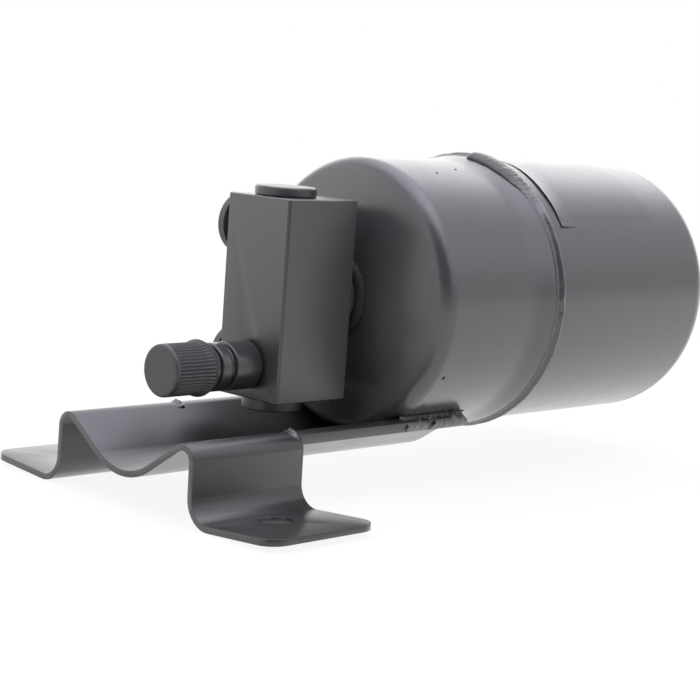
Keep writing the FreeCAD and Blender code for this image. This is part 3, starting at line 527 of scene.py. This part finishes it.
def seam_bead():
    """Ring of weld over the mouth: radius = a fall from the front cup to the
    rear cup + a thin ridge at its front toe + a round crown, each a bell curve
    of the way across. Where the run starts and ends, just past the top, it is
    a wide heap with scallops and lumps. Angles are radians, 0 at the top and
    growing towards -Y."""
    turns, across = 1200, 44
    t = np.linspace(0, 2 * np.pi, turns, endpoint=False)[:, None]
    v = np.linspace(0, 1, across)[None]
    off_top = (t + np.pi) % (2 * np.pi) - np.pi
    starts = window(off_top, 0.085, 2.0, 0.010)
    ends = window(off_top + 0.03 * waves(4, 4, 14, 8)(v), -1.0, 0.70, 0.07)
    heavy = starts * ends
    wide = heavy * np.clip((0.85 - off_top) / 0.35, 0, 1)
    ragged = (0.08 + 0.30 * heavy) * waves(9, 15, 70, 5)(t)
    x = SEAM_START_X - 2.8 * wide + (7.0 + 4.2 * wide) * v + ragged * (v - 0.3)
    fall = np.interp(x, [114.5, 116.0, 118.0, 124.9, 127.5], [45.5, 45.75, 45.95, 45.22, 45.2])
    wobble = waves(6, 8, 40, 5)(t)
    toe = (0.46 + 0.08 * wobble) * np.exp(-((x - SEAM_TOE_X - 0.10 * wobble) / 0.42) ** 2)
    high = 1.60 + 0.06 * waves(6, 8, 40, 6)(t)
    sway = 0.12 * waves(5, 8, 50, 9)(t)
    round_crown = high * np.exp(-((x - SEAM_CROWN_X - sway) / 1.25) ** 2)
    heap_height = np.interp(off_top, [0.1, 0.25, 0.5, 0.8], [2.35, 2.1, 1.7, 1.4])
    heap = heap_height * np.sin(np.pi * v) ** 0.5
    body = np.sin(np.pi * v) ** 0.6
    pitch, mean_r = 2.1, 47.0
    along = t * mean_r / pitch
    scallops = ripple(along + 2.2 * (v - 0.4) ** 2 + 0.3 * waves(5, 20, 60, 2)(t)) - 0.5
    lumps = waves(9, 25, 120, 3)(t + 0.15 * v) * waves(4, 3, 9, 4)(v * 2 + t * 9)
    r = fall + (1 - heavy) * (toe + round_crown) + heavy * heap \
        + body * ((0.02 + 0.22 * heavy) * scallops + (0.02 + 0.14 * heavy) * lumps)
    r = np.minimum(r, SEAM_LIMIT / np.cos(np.clip(off_top, -0.6, 0.6)))
    top = np.stack([r, x], -1)
    root_r = 44.9
    under = np.stack([np.broadcast_to([[root_r]], (turns, 2)),
                      np.broadcast_to([[124.6, MOUTH_X + 0.1]], (turns, 2))], -1)
    points = turned_points(np.concatenate([top, under], 1), turns, CANISTER)
    make_piece("seam_bead", points, grid_faces(turns, across + 2, True, True), seam_paint,
               replaces=["seam_weld"])


def neck_bead():
    """Ring fillet between neck and front end: a straight slope from the neck
    outwards + a bulge of a half sine, with scallops along it."""
    turns, across = 360, 12
    neck_r, root_x = 11.2, 62.1
    pitch, mean_r = 1.4, 12.5
    t = np.linspace(0, 2 * np.pi, turns, endpoint=False)[:, None]
    v = np.linspace(0, 1, across)[None]
    bulge = np.sin(np.pi * v)
    scallops = ripple(t * mean_r / pitch + 1.2 * (v - 0.5) ** 2)
    r = neck_r + 2.6 * v + bulge * (0.3 + 0.12 * scallops)
    x = root_x - 2.8 * (1 - v) - bulge * 0.3 + 0 * t
    top = np.stack([r, x], -1)
    under = np.broadcast_to(np.array([[neck_r, root_x]]), (turns, 1, 2))
    points = turned_points(np.concatenate([top, under], 1), turns, CANISTER)
    make_piece("neck_bead", points, grid_faces(turns, across + 1, True, True), neck_painted_shade,
               replaces=["neck_weld"])


def slab_faces(rows, columns):
    """Faces that close two grids of points, one over the other, at their rims."""
    quads = grid_faces(rows, columns)
    count = rows * columns
    lower = [[count + k for k in face[::-1]] for face in quads]
    i, j = np.arange(rows), np.arange(columns)
    rim = np.concatenate([j, i[1:] * columns + columns - 1, (rows - 1) * columns + j[-2::-1],
                          i[-2:0:-1] * columns])
    after = np.roll(rim, -1)
    sides = np.stack([after, rim, rim + count, after + count], 1).tolist()
    return quads + lower + sides


def label_film():
    """Bare film stuck on the rear cup: height above the cup = its thickness,
    + a lift along its left edge that falls as the square of the distance from
    the edge, + a little lift at its lower edge near the corner. Its other
    edges sink into the cup. Angles are degrees from the top towards -Y."""
    rows, columns = 90, 80
    film = 0.09
    far_angle, near_angle = -30, 56
    corner_x, right_x = 128.5, 190.0
    angle = np.linspace(far_angle, near_angle, rows)[:, None]
    share = np.linspace(0, 1, columns)[None] ** 1.8
    left = np.interp(angle, [far_angle, 14.4, 28.6, 36.7, near_angle],
                     [134.5, 132.2, 130.1, 129.2, corner_x])
    x = left + (right_x - left) * share
    near = np.clip(1 - (x - left) / 8.0, 0, 1) ** 2
    peel = np.interp(angle, [far_angle, 9, 20, 34, 44, 52, near_angle],
                     [0, 0, 0.22, 0.48, 0.5, 0.35, 0.2])
    corner = np.clip(1 - (x - corner_x) / 9.0, 0, 1)
    below = np.clip((angle - near_angle + 2.5) / 2.5, 0, 1) ** 2 * corner
    sink_far = np.clip((far_angle + 6 - angle) / 6, 0, 1)
    sink_right = np.clip((x - right_x + 8.0) / 8.0, 0, 1)
    sink_below = np.clip((angle - near_angle + 6) / 6, 0, 1) * np.clip((x - 134.0) / 4.0, 0, 1)
    sink = np.clip(sink_far + sink_right + sink_below, 0, 1)
    height = 0.10 + peel * near + 0.25 * below - 0.2 * sink

    def over(h):
        """Points h above the rear cup."""
        a = np.radians(angle) + 0 * x
        return np.stack([x, -(REAR_R + h) * np.sin(a), AXIS_Z + (REAR_R + h) * np.cos(a)], -1)

    points = np.concatenate([over(height).reshape(-1, 3), over(height - film).reshape(-1, 3)])
    make_piece("bare_label_film", points, slab_faces(rows, columns), canister_paint)


# Heaps and dents of the bracket's welds, by side: (height, x, angle, width)
HEAPS = {
    -1: [(0.55, 91.6, 64, 1.5), (0.35, 95.6, 58, 1.1), (-0.35, 88.9, 60, 0.6), (-0.3, 93.9, 60, 0.5),
         (0.3, 86.5, 34, 0.8), (0.3, 90.5, 34, 0.8), (0.3, 94.5, 36, 0.9)],
    1: [(0.5, 70.5, 60, 1.6), (0.4, 84.0, 50, 1.4)],
}


def bracket_bead(name, side, replaced):
    """Weld over the bracket's trimmed crest: section in polar form about the
    bend's centre, + scallops and lumps along the run, + a bell curve for each
    heap or dent. The near weld also has a burnt crater with a raised rim, and
    a pit below it. The run thins out at its ends. Angles are degrees from
    level."""
    rows, columns = 260, 34
    low, high = 21.5, 97
    pitch = 2.4
    x = np.linspace(BEAD_START_X, BEAD_END_X, rows)[:, None]
    angle = np.linspace(high, low, columns)[None]
    r = np.interp(angle, [low, 26, 30, 40, 50, 60, 70, 80, 90, high],
                  [2.95, 3.3, 3.7, 4.45, 4.75, 4.8, 4.85, 5.1, 5.6, 5.7])
    v = (high - angle) / (high - low)
    body = np.sin(np.pi * np.clip(v, 0, 1)) ** 0.5
    arc = np.radians(high - angle) * CREST_R
    sway = 0.25 * waves(5, 0.2, 1.2, 31 + side)(x)
    scallops = ripple(x / pitch + 0.10 * (arc - 3.0) ** 2 + sway)
    lumps = waves(8, 0.6, 2.6, 41 + side)(x + 0.4 * arc) * waves(5, 0.4, 1.6, 51 + side)(arc + 0.3 * x)
    r = r + body * (0.16 * scallops + 0.13 * lumps)

    def away(at_x, at_angle, width):
        """Square of the distance from a spot, in its own widths."""
        return ((x - at_x) ** 2 + (np.radians(at_angle - angle) * CREST_R) ** 2) / width**2

    if side < 0:
        crater = away(80.3, 52, 1.0)
        r = r + 0.45 * np.exp(-(crater - 2.2) ** 2) - 0.9 * np.exp(-crater**2)
        r = r - 0.5 * np.exp(-away(79.2, 33, 0.9) ** 2)
    for height, *spot in HEAPS[side]:
        r = r + height * np.exp(-away(*spot))
    ends = np.clip((x - BEAD_START_X) / 0.5, 0, 1) * np.clip((BEAD_END_X + 0.2 - x) / 5.0, 0, 1)
    least_r = 3.0
    r = np.maximum(r * (1 - 0.18 * (1 - ends) ** 2 * body), least_r)
    a = np.radians(angle) + 0 * x
    top = np.stack([x + 0 * a, side * (CREST[0] + r * np.cos(a)), CREST[1] + r * np.sin(a)], -1)
    root = np.broadcast_to(np.array([[28.6, 19.6], [26.2, 22.4]]), (rows, 2, 2))
    under = np.stack([np.broadcast_to(x, (rows, 2)), side * root[..., 0], root[..., 1]], -1)
    points = np.concatenate([top, under], 1)
    count = columns + 2
    faces = grid_faces(rows, count, False, True)
    faces += [list(range(count)), list(range((rows - 1) * count, rows * count))]
    make_piece(name, points, faces, bead_paint, replaces=[replaced])


def torn_lip(name, side):
    """Lip of metal that the press tore up over the crest where the foot's wall
    ends: radius about the crest's bend = the sheet's + a ragged arch that
    rises slowly along X and drops at the cut."""
    rows, columns = 60, 16
    start_x, length = 17.4, 4.2
    low, high = 35, 140
    peak = 0.75
    angle = np.linspace(low, high, rows)[:, None]
    share = np.linspace(0, 1, columns)[None]
    rise = np.where(share < peak, (share / peak) ** 1.6, (1 - share) / (1 - peak))
    arch = np.sin(np.pi * ((angle - low) / (high - low))) ** 0.5
    ragged = 1.05 + 0.28 * waves(5, 0.08, 0.38, 61 + side)(angle)
    x = start_x + (length + 0.12 * waves(4, 0.1, 0.3, 71 + side)(angle)) * share
    r = CREST_R + ragged * arch * rise
    root_r = CREST_R - 0.5 + 0 * r
    a = np.radians(angle)

    def round_crest(r):
        """Points at radius r about the crest's bend."""
        return np.stack([x, side * (CREST[0] + r * np.cos(a)), CREST[1] + r * np.sin(a)], -1)

    points = np.concatenate([round_crest(r).reshape(-1, 3), round_crest(root_r).reshape(-1, 3)])
    make_piece(name, points, slab_faces(rows, columns), bracket_paint)


def on_canister(x, y, low=True):
    """Point of the front cup at (x, y), on its lower or upper half."""
    return (x, y, AXIS_Z + (-1 if low else 1) * math.sqrt(FRONT_R**2 - y**2))


def beads_of_spatter(name, places, material):
    """Flattened balls in one mesh, each (centre, half lengths along X and
    round the canister, height): a sphere stretched along X, round the
    canister and outwards."""
    lat, lon = 9, 16
    theta = np.linspace(0, np.pi, lat)[:, None]
    phi = np.linspace(0, 2 * np.pi, lon, endpoint=False)[None]
    ball = np.stack([np.sin(theta) * np.cos(phi), np.sin(theta) * np.sin(phi),
                     np.cos(theta) + 0 * phi], -1).reshape(-1, 3)
    centre = np.array([place[0] for place in places])
    size = np.array([place[1:] for place in places])
    out = centre - [0, 0, AXIS_Z]
    out[:, 0] = 0
    out = out / np.linalg.norm(out, axis=1, keepdims=True)
    round_way = np.cross(out, X)
    points = centre[:, None] + ball[None, :, :1] * size[:, None, :1] * X \
        + ball[None, :, 1:2] * size[:, None, 1:2] * round_way[:, None] \
        + ball[None, :, 2:] * size[:, None, 2:] * out[:, None]
    one = np.array(grid_faces(lat, lon, False, True))
    faces = (one[None] + np.arange(len(places))[:, None, None] * lat * lon).reshape(-1, 4).tolist()
    make_piece(name, points, faces, material)


# Service port and cap

def port_body():
    """Turned port: shank, barrel, groove, ring and threaded nose, with the
    bore that holds the valve core. The nose's thread is a helix: the radius
    loses depth * a triangle wave of height / pitch - turn."""
    shank_end = -5.8
    thread_start, thread_end = 19.0, 31.5
    pitch, depth = 1.25, 0.42
    outer = softened([(4.5, shank_end, 0.4), (4.5, 0.9, 0.2), (7.6, 0.9, 0.45), (7.6, 10.8, 0.5),
                      (6.2, 11.1, 0.3), (6.2, 12.5, 0.3), (7.5, 12.8, 0.6), (7.5, 16.5, 0.7),
                      (NOSE_R, 16.8, 0.3), (NOSE_R, 18.4, 0)])
    nose = np.stack([np.full(120, NOSE_R), np.linspace(18.5, 31.4, 120)], 1)
    mouth = softened([(NOSE_R, thread_end, 0), (NOSE_R, NOSE_END, 0.5), (3.6, NOSE_END, 0.3),
                      (3.6, 29.15, 0.1), (2.65, 29.15, 0.1), (2.65, 24.15, 0.1), (2.2, 22.65, 0.1),
                      (2.2, shank_end, 0.1)])
    profile = np.concatenate([outer, nose, mouth])
    turns = 144
    t = np.arange(turns)[:, None] / turns
    height = profile[:, 1]
    on_nose = (height > thread_start) & (height < thread_end - 0.05) & (profile[:, 0] > 6)
    phase = np.abs((height / pitch - t) % 1 - 0.5) * 2
    fade = np.clip((height - thread_start) / 1.2, 0, 1) * np.clip((thread_end - height) / 0.8, 0, 1)
    radius = profile[None, :, 0] - np.where(on_nose, depth * phase * fade, 0)
    shaped = np.stack([radius, np.broadcast_to(profile[:, 1], radius.shape)], -1)
    points = turned_points(shaped, turns, PORT)
    make_piece("service_port_body", points, grid_faces(turns, len(profile), True, True), valve_paint,
               replaces=["service_valve_body"])


def ribbed_cap():
    """Moulded cap. Outside radius = a turned profile with a collar, whose
    height is a bell curve along the axis, less the grooves between straight
    ribs: depth * (1 - crest) ^ 1.2, where the crest is a raised cosine of the
    angle. The grooves fade out at the lip and near the closed end, whose edge
    is an arc."""
    ribs, per_rib = 45, 14
    turns = ribs * per_rib
    lip, edge = 0.35, 1.0
    collar_at = 2.75
    bore_r, bore_end = 6.6, 15.2
    h = np.concatenate([np.linspace(0.0, lip, 5), np.linspace(0.5, CAP_LENGTH - edge, 90)])
    spread = np.where(h < collar_at, 1.35, 1.6)
    collar = 0.78 * np.exp(-((h - collar_at) / spread) ** 2)
    r = CAP_R - 0.1 * np.clip((1.5 - h) / 1.5, 0, 1) + collar * np.clip(h / 1.6, 0, 1) ** 1.5
    r = r - lip * np.clip(1 - h / lip, 0, 1) ** 2
    end = arc_profile((CAP_R - edge, CAP_LENGTH - edge), edge, 0, 90, 10)
    outer = np.concatenate([np.stack([r, h], 1), end[1:]])
    flat = np.stack([np.linspace(6.5, 0.0, 8), np.full(8, CAP_LENGTH)], 1)
    inner = softened([(0.0, bore_end, 0), (bore_r, bore_end, 0.4), (bore_r, 0.0, 0.25)])
    profile = np.concatenate([outer, flat, inner])
    angle = np.arange(turns)[:, None] / per_rib
    crest = 0.5 + 0.5 * np.cos(2 * np.pi * angle)
    groove = 0.42 * (1 - crest) ** 1.2
    height = profile[None, :, 1]
    fade = np.clip((height - 1.6) / 0.9, 0, 1) * np.clip((15.7 - height) / 0.7, 0, 1)
    outside = (np.arange(len(profile)) < len(outer))[None]
    radius = profile[None, :, 0] - np.where(outside, groove * fade, 0)
    shaped = np.stack([radius, np.broadcast_to(profile[:, 1] + CAP_OPEN, radius.shape)], -1)
    points = turned_points(shaped, turns, PORT)
    make_piece("ribbed_service_cap", points, grid_faces(turns, len(profile), True, False), cap_plastic,
               body="service_cap", replaces=["service_cap"])


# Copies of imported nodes

def merged_copy(node, name, material, flatten=False):
    """Copy of a CAD node with its doubles merged, and with its flat faces
    whole again if asked."""
    mesh = frame["nodes"][node].data.copy()
    mesh.name = name
    clean = bmesh.new()
    clean.from_mesh(mesh)
    bmesh.ops.remove_doubles(clean, verts=clean.verts, dist=1e-6)
    if flatten:
        bmesh.ops.dissolve_limit(clean, angle_limit=math.radians(0.5), verts=clean.verts,
                                 edges=clean.edges)
    clean.to_mesh(mesh)
    clean.free()
    mesh.materials.clear()
    mesh.materials.append(material)
    mesh.shade_smooth()
    piece = bpy.data.objects.new(name, mesh)
    bpy.context.scene.collection.objects.link(piece)
    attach(piece, BODY)
    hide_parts(node)
    return piece


def softened_copy(node, name, material, width):
    """Copy of a CAD node with its edges rounded, as paint and deburring round
    them."""
    piece = merged_copy(node, name, material, flatten=True)
    bevel = piece.modifiers.new("edges", "BEVEL")
    bevel.width = width * MM
    bevel.segments = 3
    bevel.limit_method = "ANGLE"
    bevel.angle_limit = math.radians(35)
    bevel.harden_normals = True


def core_spring():
    """Spring of the valve core, whose coil shortens as the pin goes in; here it is a still copy with a
    mesh of its own.
    """
    spring = merged_copy("valve_spring", "coiled_core_spring", spring_steel)
    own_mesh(spring)


# Build the pieces

front_cup()
rear_cup()
seam_bead()
neck_bead()
label_film()
bracket_bead("left_bead", 1, "left_bracket_weld")
bracket_bead("right_bead", -1, "right_bracket_weld")
# Spatter beside the bracket's near weld, and two grains on top of the cup
beads_of_spatter("spatter", [
    (on_canister(93.7, -26.3), 0.95, 0.95, 0.8), (on_canister(73.7, -38.7), 0.68, 0.62, 0.4),
    (on_canister(84.2, -25.4), 0.6, 0.5, 0.5), (on_canister(99.0, -25.6), 1.3, 0.3, 0.35),
    (on_canister(99.2, -14.5, low=False), 0.4, 0.4, 0.25),
    (on_canister(86.8, -17.5, low=False), 0.4, 0.4, 0.25)], spatter_paint)
torn_lip("left_torn_lip", 1)
torn_lip("right_torn_lip", -1)
port_body()
ribbed_cap()
softened_copy("bracket", "folded_bracket", bracket_paint, 0.35)
softened_copy("connection_block", "bored_block", block_paint, 0.25)
core_spring()


# Camera, floor and light

def photo_camera():
    """Camera of the photograph, from its azimuth, elevation, roll and place."""
    azimuth = math.radians(-46.10)
    elevation = math.radians(8.41)
    roll = math.radians(4.15)
    place = Vector((-342.36, -399.84, 122.37))
    focal_px, picture_px = 1773.9, 700
    back = Vector((math.sin(azimuth) * math.cos(elevation), -math.cos(azimuth) * math.cos(elevation),
                   math.sin(elevation)))
    level = (-back).cross(Vector((0, 0, 1))).normalized()
    upright = level.cross(-back)
    right = level * math.cos(roll) + upright * math.sin(roll)
    up = upright * math.cos(roll) - level * math.sin(roll)
    data = bpy.data.cameras.new("photo_camera")
    data.sensor_width = 36.0
    data.lens = focal_px / picture_px * data.sensor_width
    data.shift_x = -0.0064
    data.shift_y = 0.0178
    data.clip_start = 0.01
    camera = bpy.data.objects.new("photo_camera", data)
    turned = Matrix((right, up, back)).transposed().to_4x4()
    turned.translation = place * MM
    camera.matrix_world = turned
    bpy.context.scene.collection.objects.link(camera)
    bpy.context.scene.camera = camera


def floor():
    """Level square of paper, 0.2 mm under the feet, that isn't part of the
    object. Its lengths are metres."""
    half, drop = 4.0, 0.0002
    mesh = bpy.data.meshes.new("floor")
    mesh.from_pydata([(-half, -half, -drop), (half, -half, -drop), (half, half, -drop),
                      (-half, half, -drop)], [], [[0, 1, 2, 3]])
    mesh.materials.append(paper_sweep())
    plane = bpy.data.objects.new("floor", mesh)
    bpy.context.scene.collection.objects.link(plane)


def paper_sweep():
    """White paper sweep. The camera and mirrors see it almost white, with a
    weak shadow near the object. To soft light it is a ring of lit paper that
    falls off outside the object's reach and again far away."""
    material, tree = new_material("white_paper_sweep")
    path = add(tree, "ShaderNodeLightPath")
    place = add(tree, "ShaderNodeTexCoord").outputs["Object"]
    centred = add(tree, "ShaderNodeVectorMath", {0: place, 1: (0.09, 0.0, 0.0)}, operation="SUBTRACT")
    away = add(tree, "ShaderNodeVectorMath", {0: centred.outputs[0]}, operation="LENGTH").outputs["Value"]
    seen = add(tree, "ShaderNodeMapRange", {0: away, 1: 0.25, 2: 0.9, 3: 0.90, 4: 1.0})
    near = add(tree, "ShaderNodeMapRange", {0: away, 1: 0.17, 2: 0.27, 3: 0.94, 4: 0.68},
               interpolation_type="SMOOTHSTEP")
    lit = add(tree, "ShaderNodeMapRange", {0: away, 1: 0.48, 2: 0.72, 3: near.outputs[0], 4: 0.51},
              interpolation_type="SMOOTHSTEP")
    mirrors = add(tree, "ShaderNodeMath", {0: path.outputs["Is Glossy Ray"],
                                           1: path.outputs["Is Transmission Ray"]}, operation="MAXIMUM")
    glow = add(tree, "ShaderNodeMix", {0: mirrors.outputs[0], 2: lit.outputs[0], 3: 1.0})
    power = add(tree, "ShaderNodeMix", {0: path.outputs["Is Camera Ray"], 2: glow.outputs[0], 3: 1.0})
    share = add(tree, "ShaderNodeMix", {0: path.outputs["Is Camera Ray"], 2: 1.0, 3: seen.outputs[0]})
    paper = add(tree, "ShaderNodeBsdfDiffuse", {"Color": (0.85, 0.85, 0.85, 1)})
    glowing = add(tree, "ShaderNodeEmission", {"Color": (1, 1, 1, 1), "Strength": power.outputs[0]})
    mixed = add(tree, "ShaderNodeMixShader", {0: share.outputs[0], 1: paper.outputs[0],
                                              2: glowing.outputs[0]})
    finish_material(tree, mixed)
    return material


def world():
    """White tent of soft panels round the object: two rings of six and one
    overhead, each brightest at its middle, fading to nothing 50 degrees away
    from it. One fixed side of the room is dim, where the photograph was taken
    from. The camera, and mirrors that face the far side, see white."""
    tent = bpy.data.worlds.new("white_tent")
    bpy.context.scene.world = tent
    tent.use_nodes = True
    tree = tent.node_tree
    tree.nodes.clear()
    place = add(tree, "ShaderNodeTexCoord").outputs["Generated"]

    # Directions of the two sides, and the panels' azimuths and strengths
    dim_side = (-0.705, -0.679, 0.206)
    far_side = (0.35, 0.94, 0.05)
    ring = [224, 284, 344, 44, 104, 164]
    low_ring = (0.45, 0.40, 0.57, 1.65, 1.05, 0.95)
    high_ring = (0.70, 0.87, 0.11, 0.52, 0.21, 0.23)
    low_elevation, high_elevation = 12, 48
    overhead = 2.0

    def round_zone(direction, edge, core, outside, inside):
        """Value that goes smoothly from outside, edge degrees away from a
        direction, to inside, core degrees away from it."""
        toward = add(tree, "ShaderNodeVectorMath", {0: place, 1: direction}, operation="DOT_PRODUCT")
        return add(tree, "ShaderNodeMapRange",
                   {0: toward.outputs["Value"], 1: math.cos(math.radians(edge)),
                    2: math.cos(math.radians(core)), 3: outside, 4: inside},
                   interpolation_type="SMOOTHSTEP").outputs[0]

    def panel(azimuth, elevation, strength):
        """Light of one soft panel."""
        a = math.radians(azimuth)
        e = math.radians(elevation)
        direction = (math.cos(a) * math.cos(e), math.sin(a) * math.cos(e), math.sin(e))
        return round_zone(direction, 50, 8, 0.0, strength)

    def total(panels):
        """Sum of the panels' light."""
        both = panels[0]
        for one in panels[1:]:
            both = add(tree, "ShaderNodeMath", {0: both, 1: one}, operation="ADD").outputs[0]
        return both

    lit = round_zone(dim_side, 48, 26, 1.0, 0.03)
    low = total([panel(azimuth, low_elevation, strength) for azimuth, strength in zip(ring, low_ring)])
    high = total([panel(azimuth, high_elevation, strength) for azimuth, strength in zip(ring, high_ring)]
                 + [panel(0, 90, overhead)])
    low = add(tree, "ShaderNodeMath", {0: low, 1: lit}, operation="MULTIPLY").outputs[0]
    high = add(tree, "ShaderNodeMath", {0: high, 1: lit}, operation="MULTIPLY").outputs[0]
    sides = add(tree, "ShaderNodeBackground", {"Color": (1, 1, 1, 1), "Strength": low})
    above = add(tree, "ShaderNodeBackground", {"Color": (0.965, 0.95, 1.09, 1), "Strength": high})
    panels = add(tree, "ShaderNodeAddShader", {0: sides.outputs[0], 1: above.outputs[0]})
    path = add(tree, "ShaderNodeLightPath")
    behind = add(tree, "ShaderNodeVectorMath", {0: place, 1: far_side}, operation="DOT_PRODUCT")
    backdrop = add(tree, "ShaderNodeMapRange", {0: behind.outputs["Value"], 1: 0.55, 2: 0.85},
                   interpolation_type="SMOOTHSTEP")
    mirrors = add(tree, "ShaderNodeMath", {0: path.outputs["Is Glossy Ray"],
                                           1: path.outputs["Is Transmission Ray"]}, operation="MAXIMUM")
    mirrored = add(tree, "ShaderNodeMath", {0: mirrors.outputs[0], 1: backdrop.outputs[0]},
                   operation="MULTIPLY")
    seen = add(tree, "ShaderNodeMath", {0: path.outputs["Is Camera Ray"], 1: mirrored.outputs[0]},
               operation="MAXIMUM")
    # Mirrors keep a panel where it is brighter than the backdrop
    brighter = add(tree, "ShaderNodeMath", {0: low, 1: 1.0}, operation="MAXIMUM").outputs[0]
    shown = add(tree, "ShaderNodeMix", {0: path.outputs["Is Camera Ray"], 2: brighter, 3: 1.0})
    white = add(tree, "ShaderNodeBackground", {"Color": (1, 1, 1, 1), "Strength": shown.outputs[0]})
    mixed = add(tree, "ShaderNodeMixShader", {0: seen.outputs[0], 1: panels.outputs[0],
                                              2: white.outputs[0]})
    add(tree, "ShaderNodeOutputWorld", {"Surface": mixed.outputs[0]})


photo_camera()
world()
floor()

bpy.context.scene.view_settings.view_transform = "Standard"
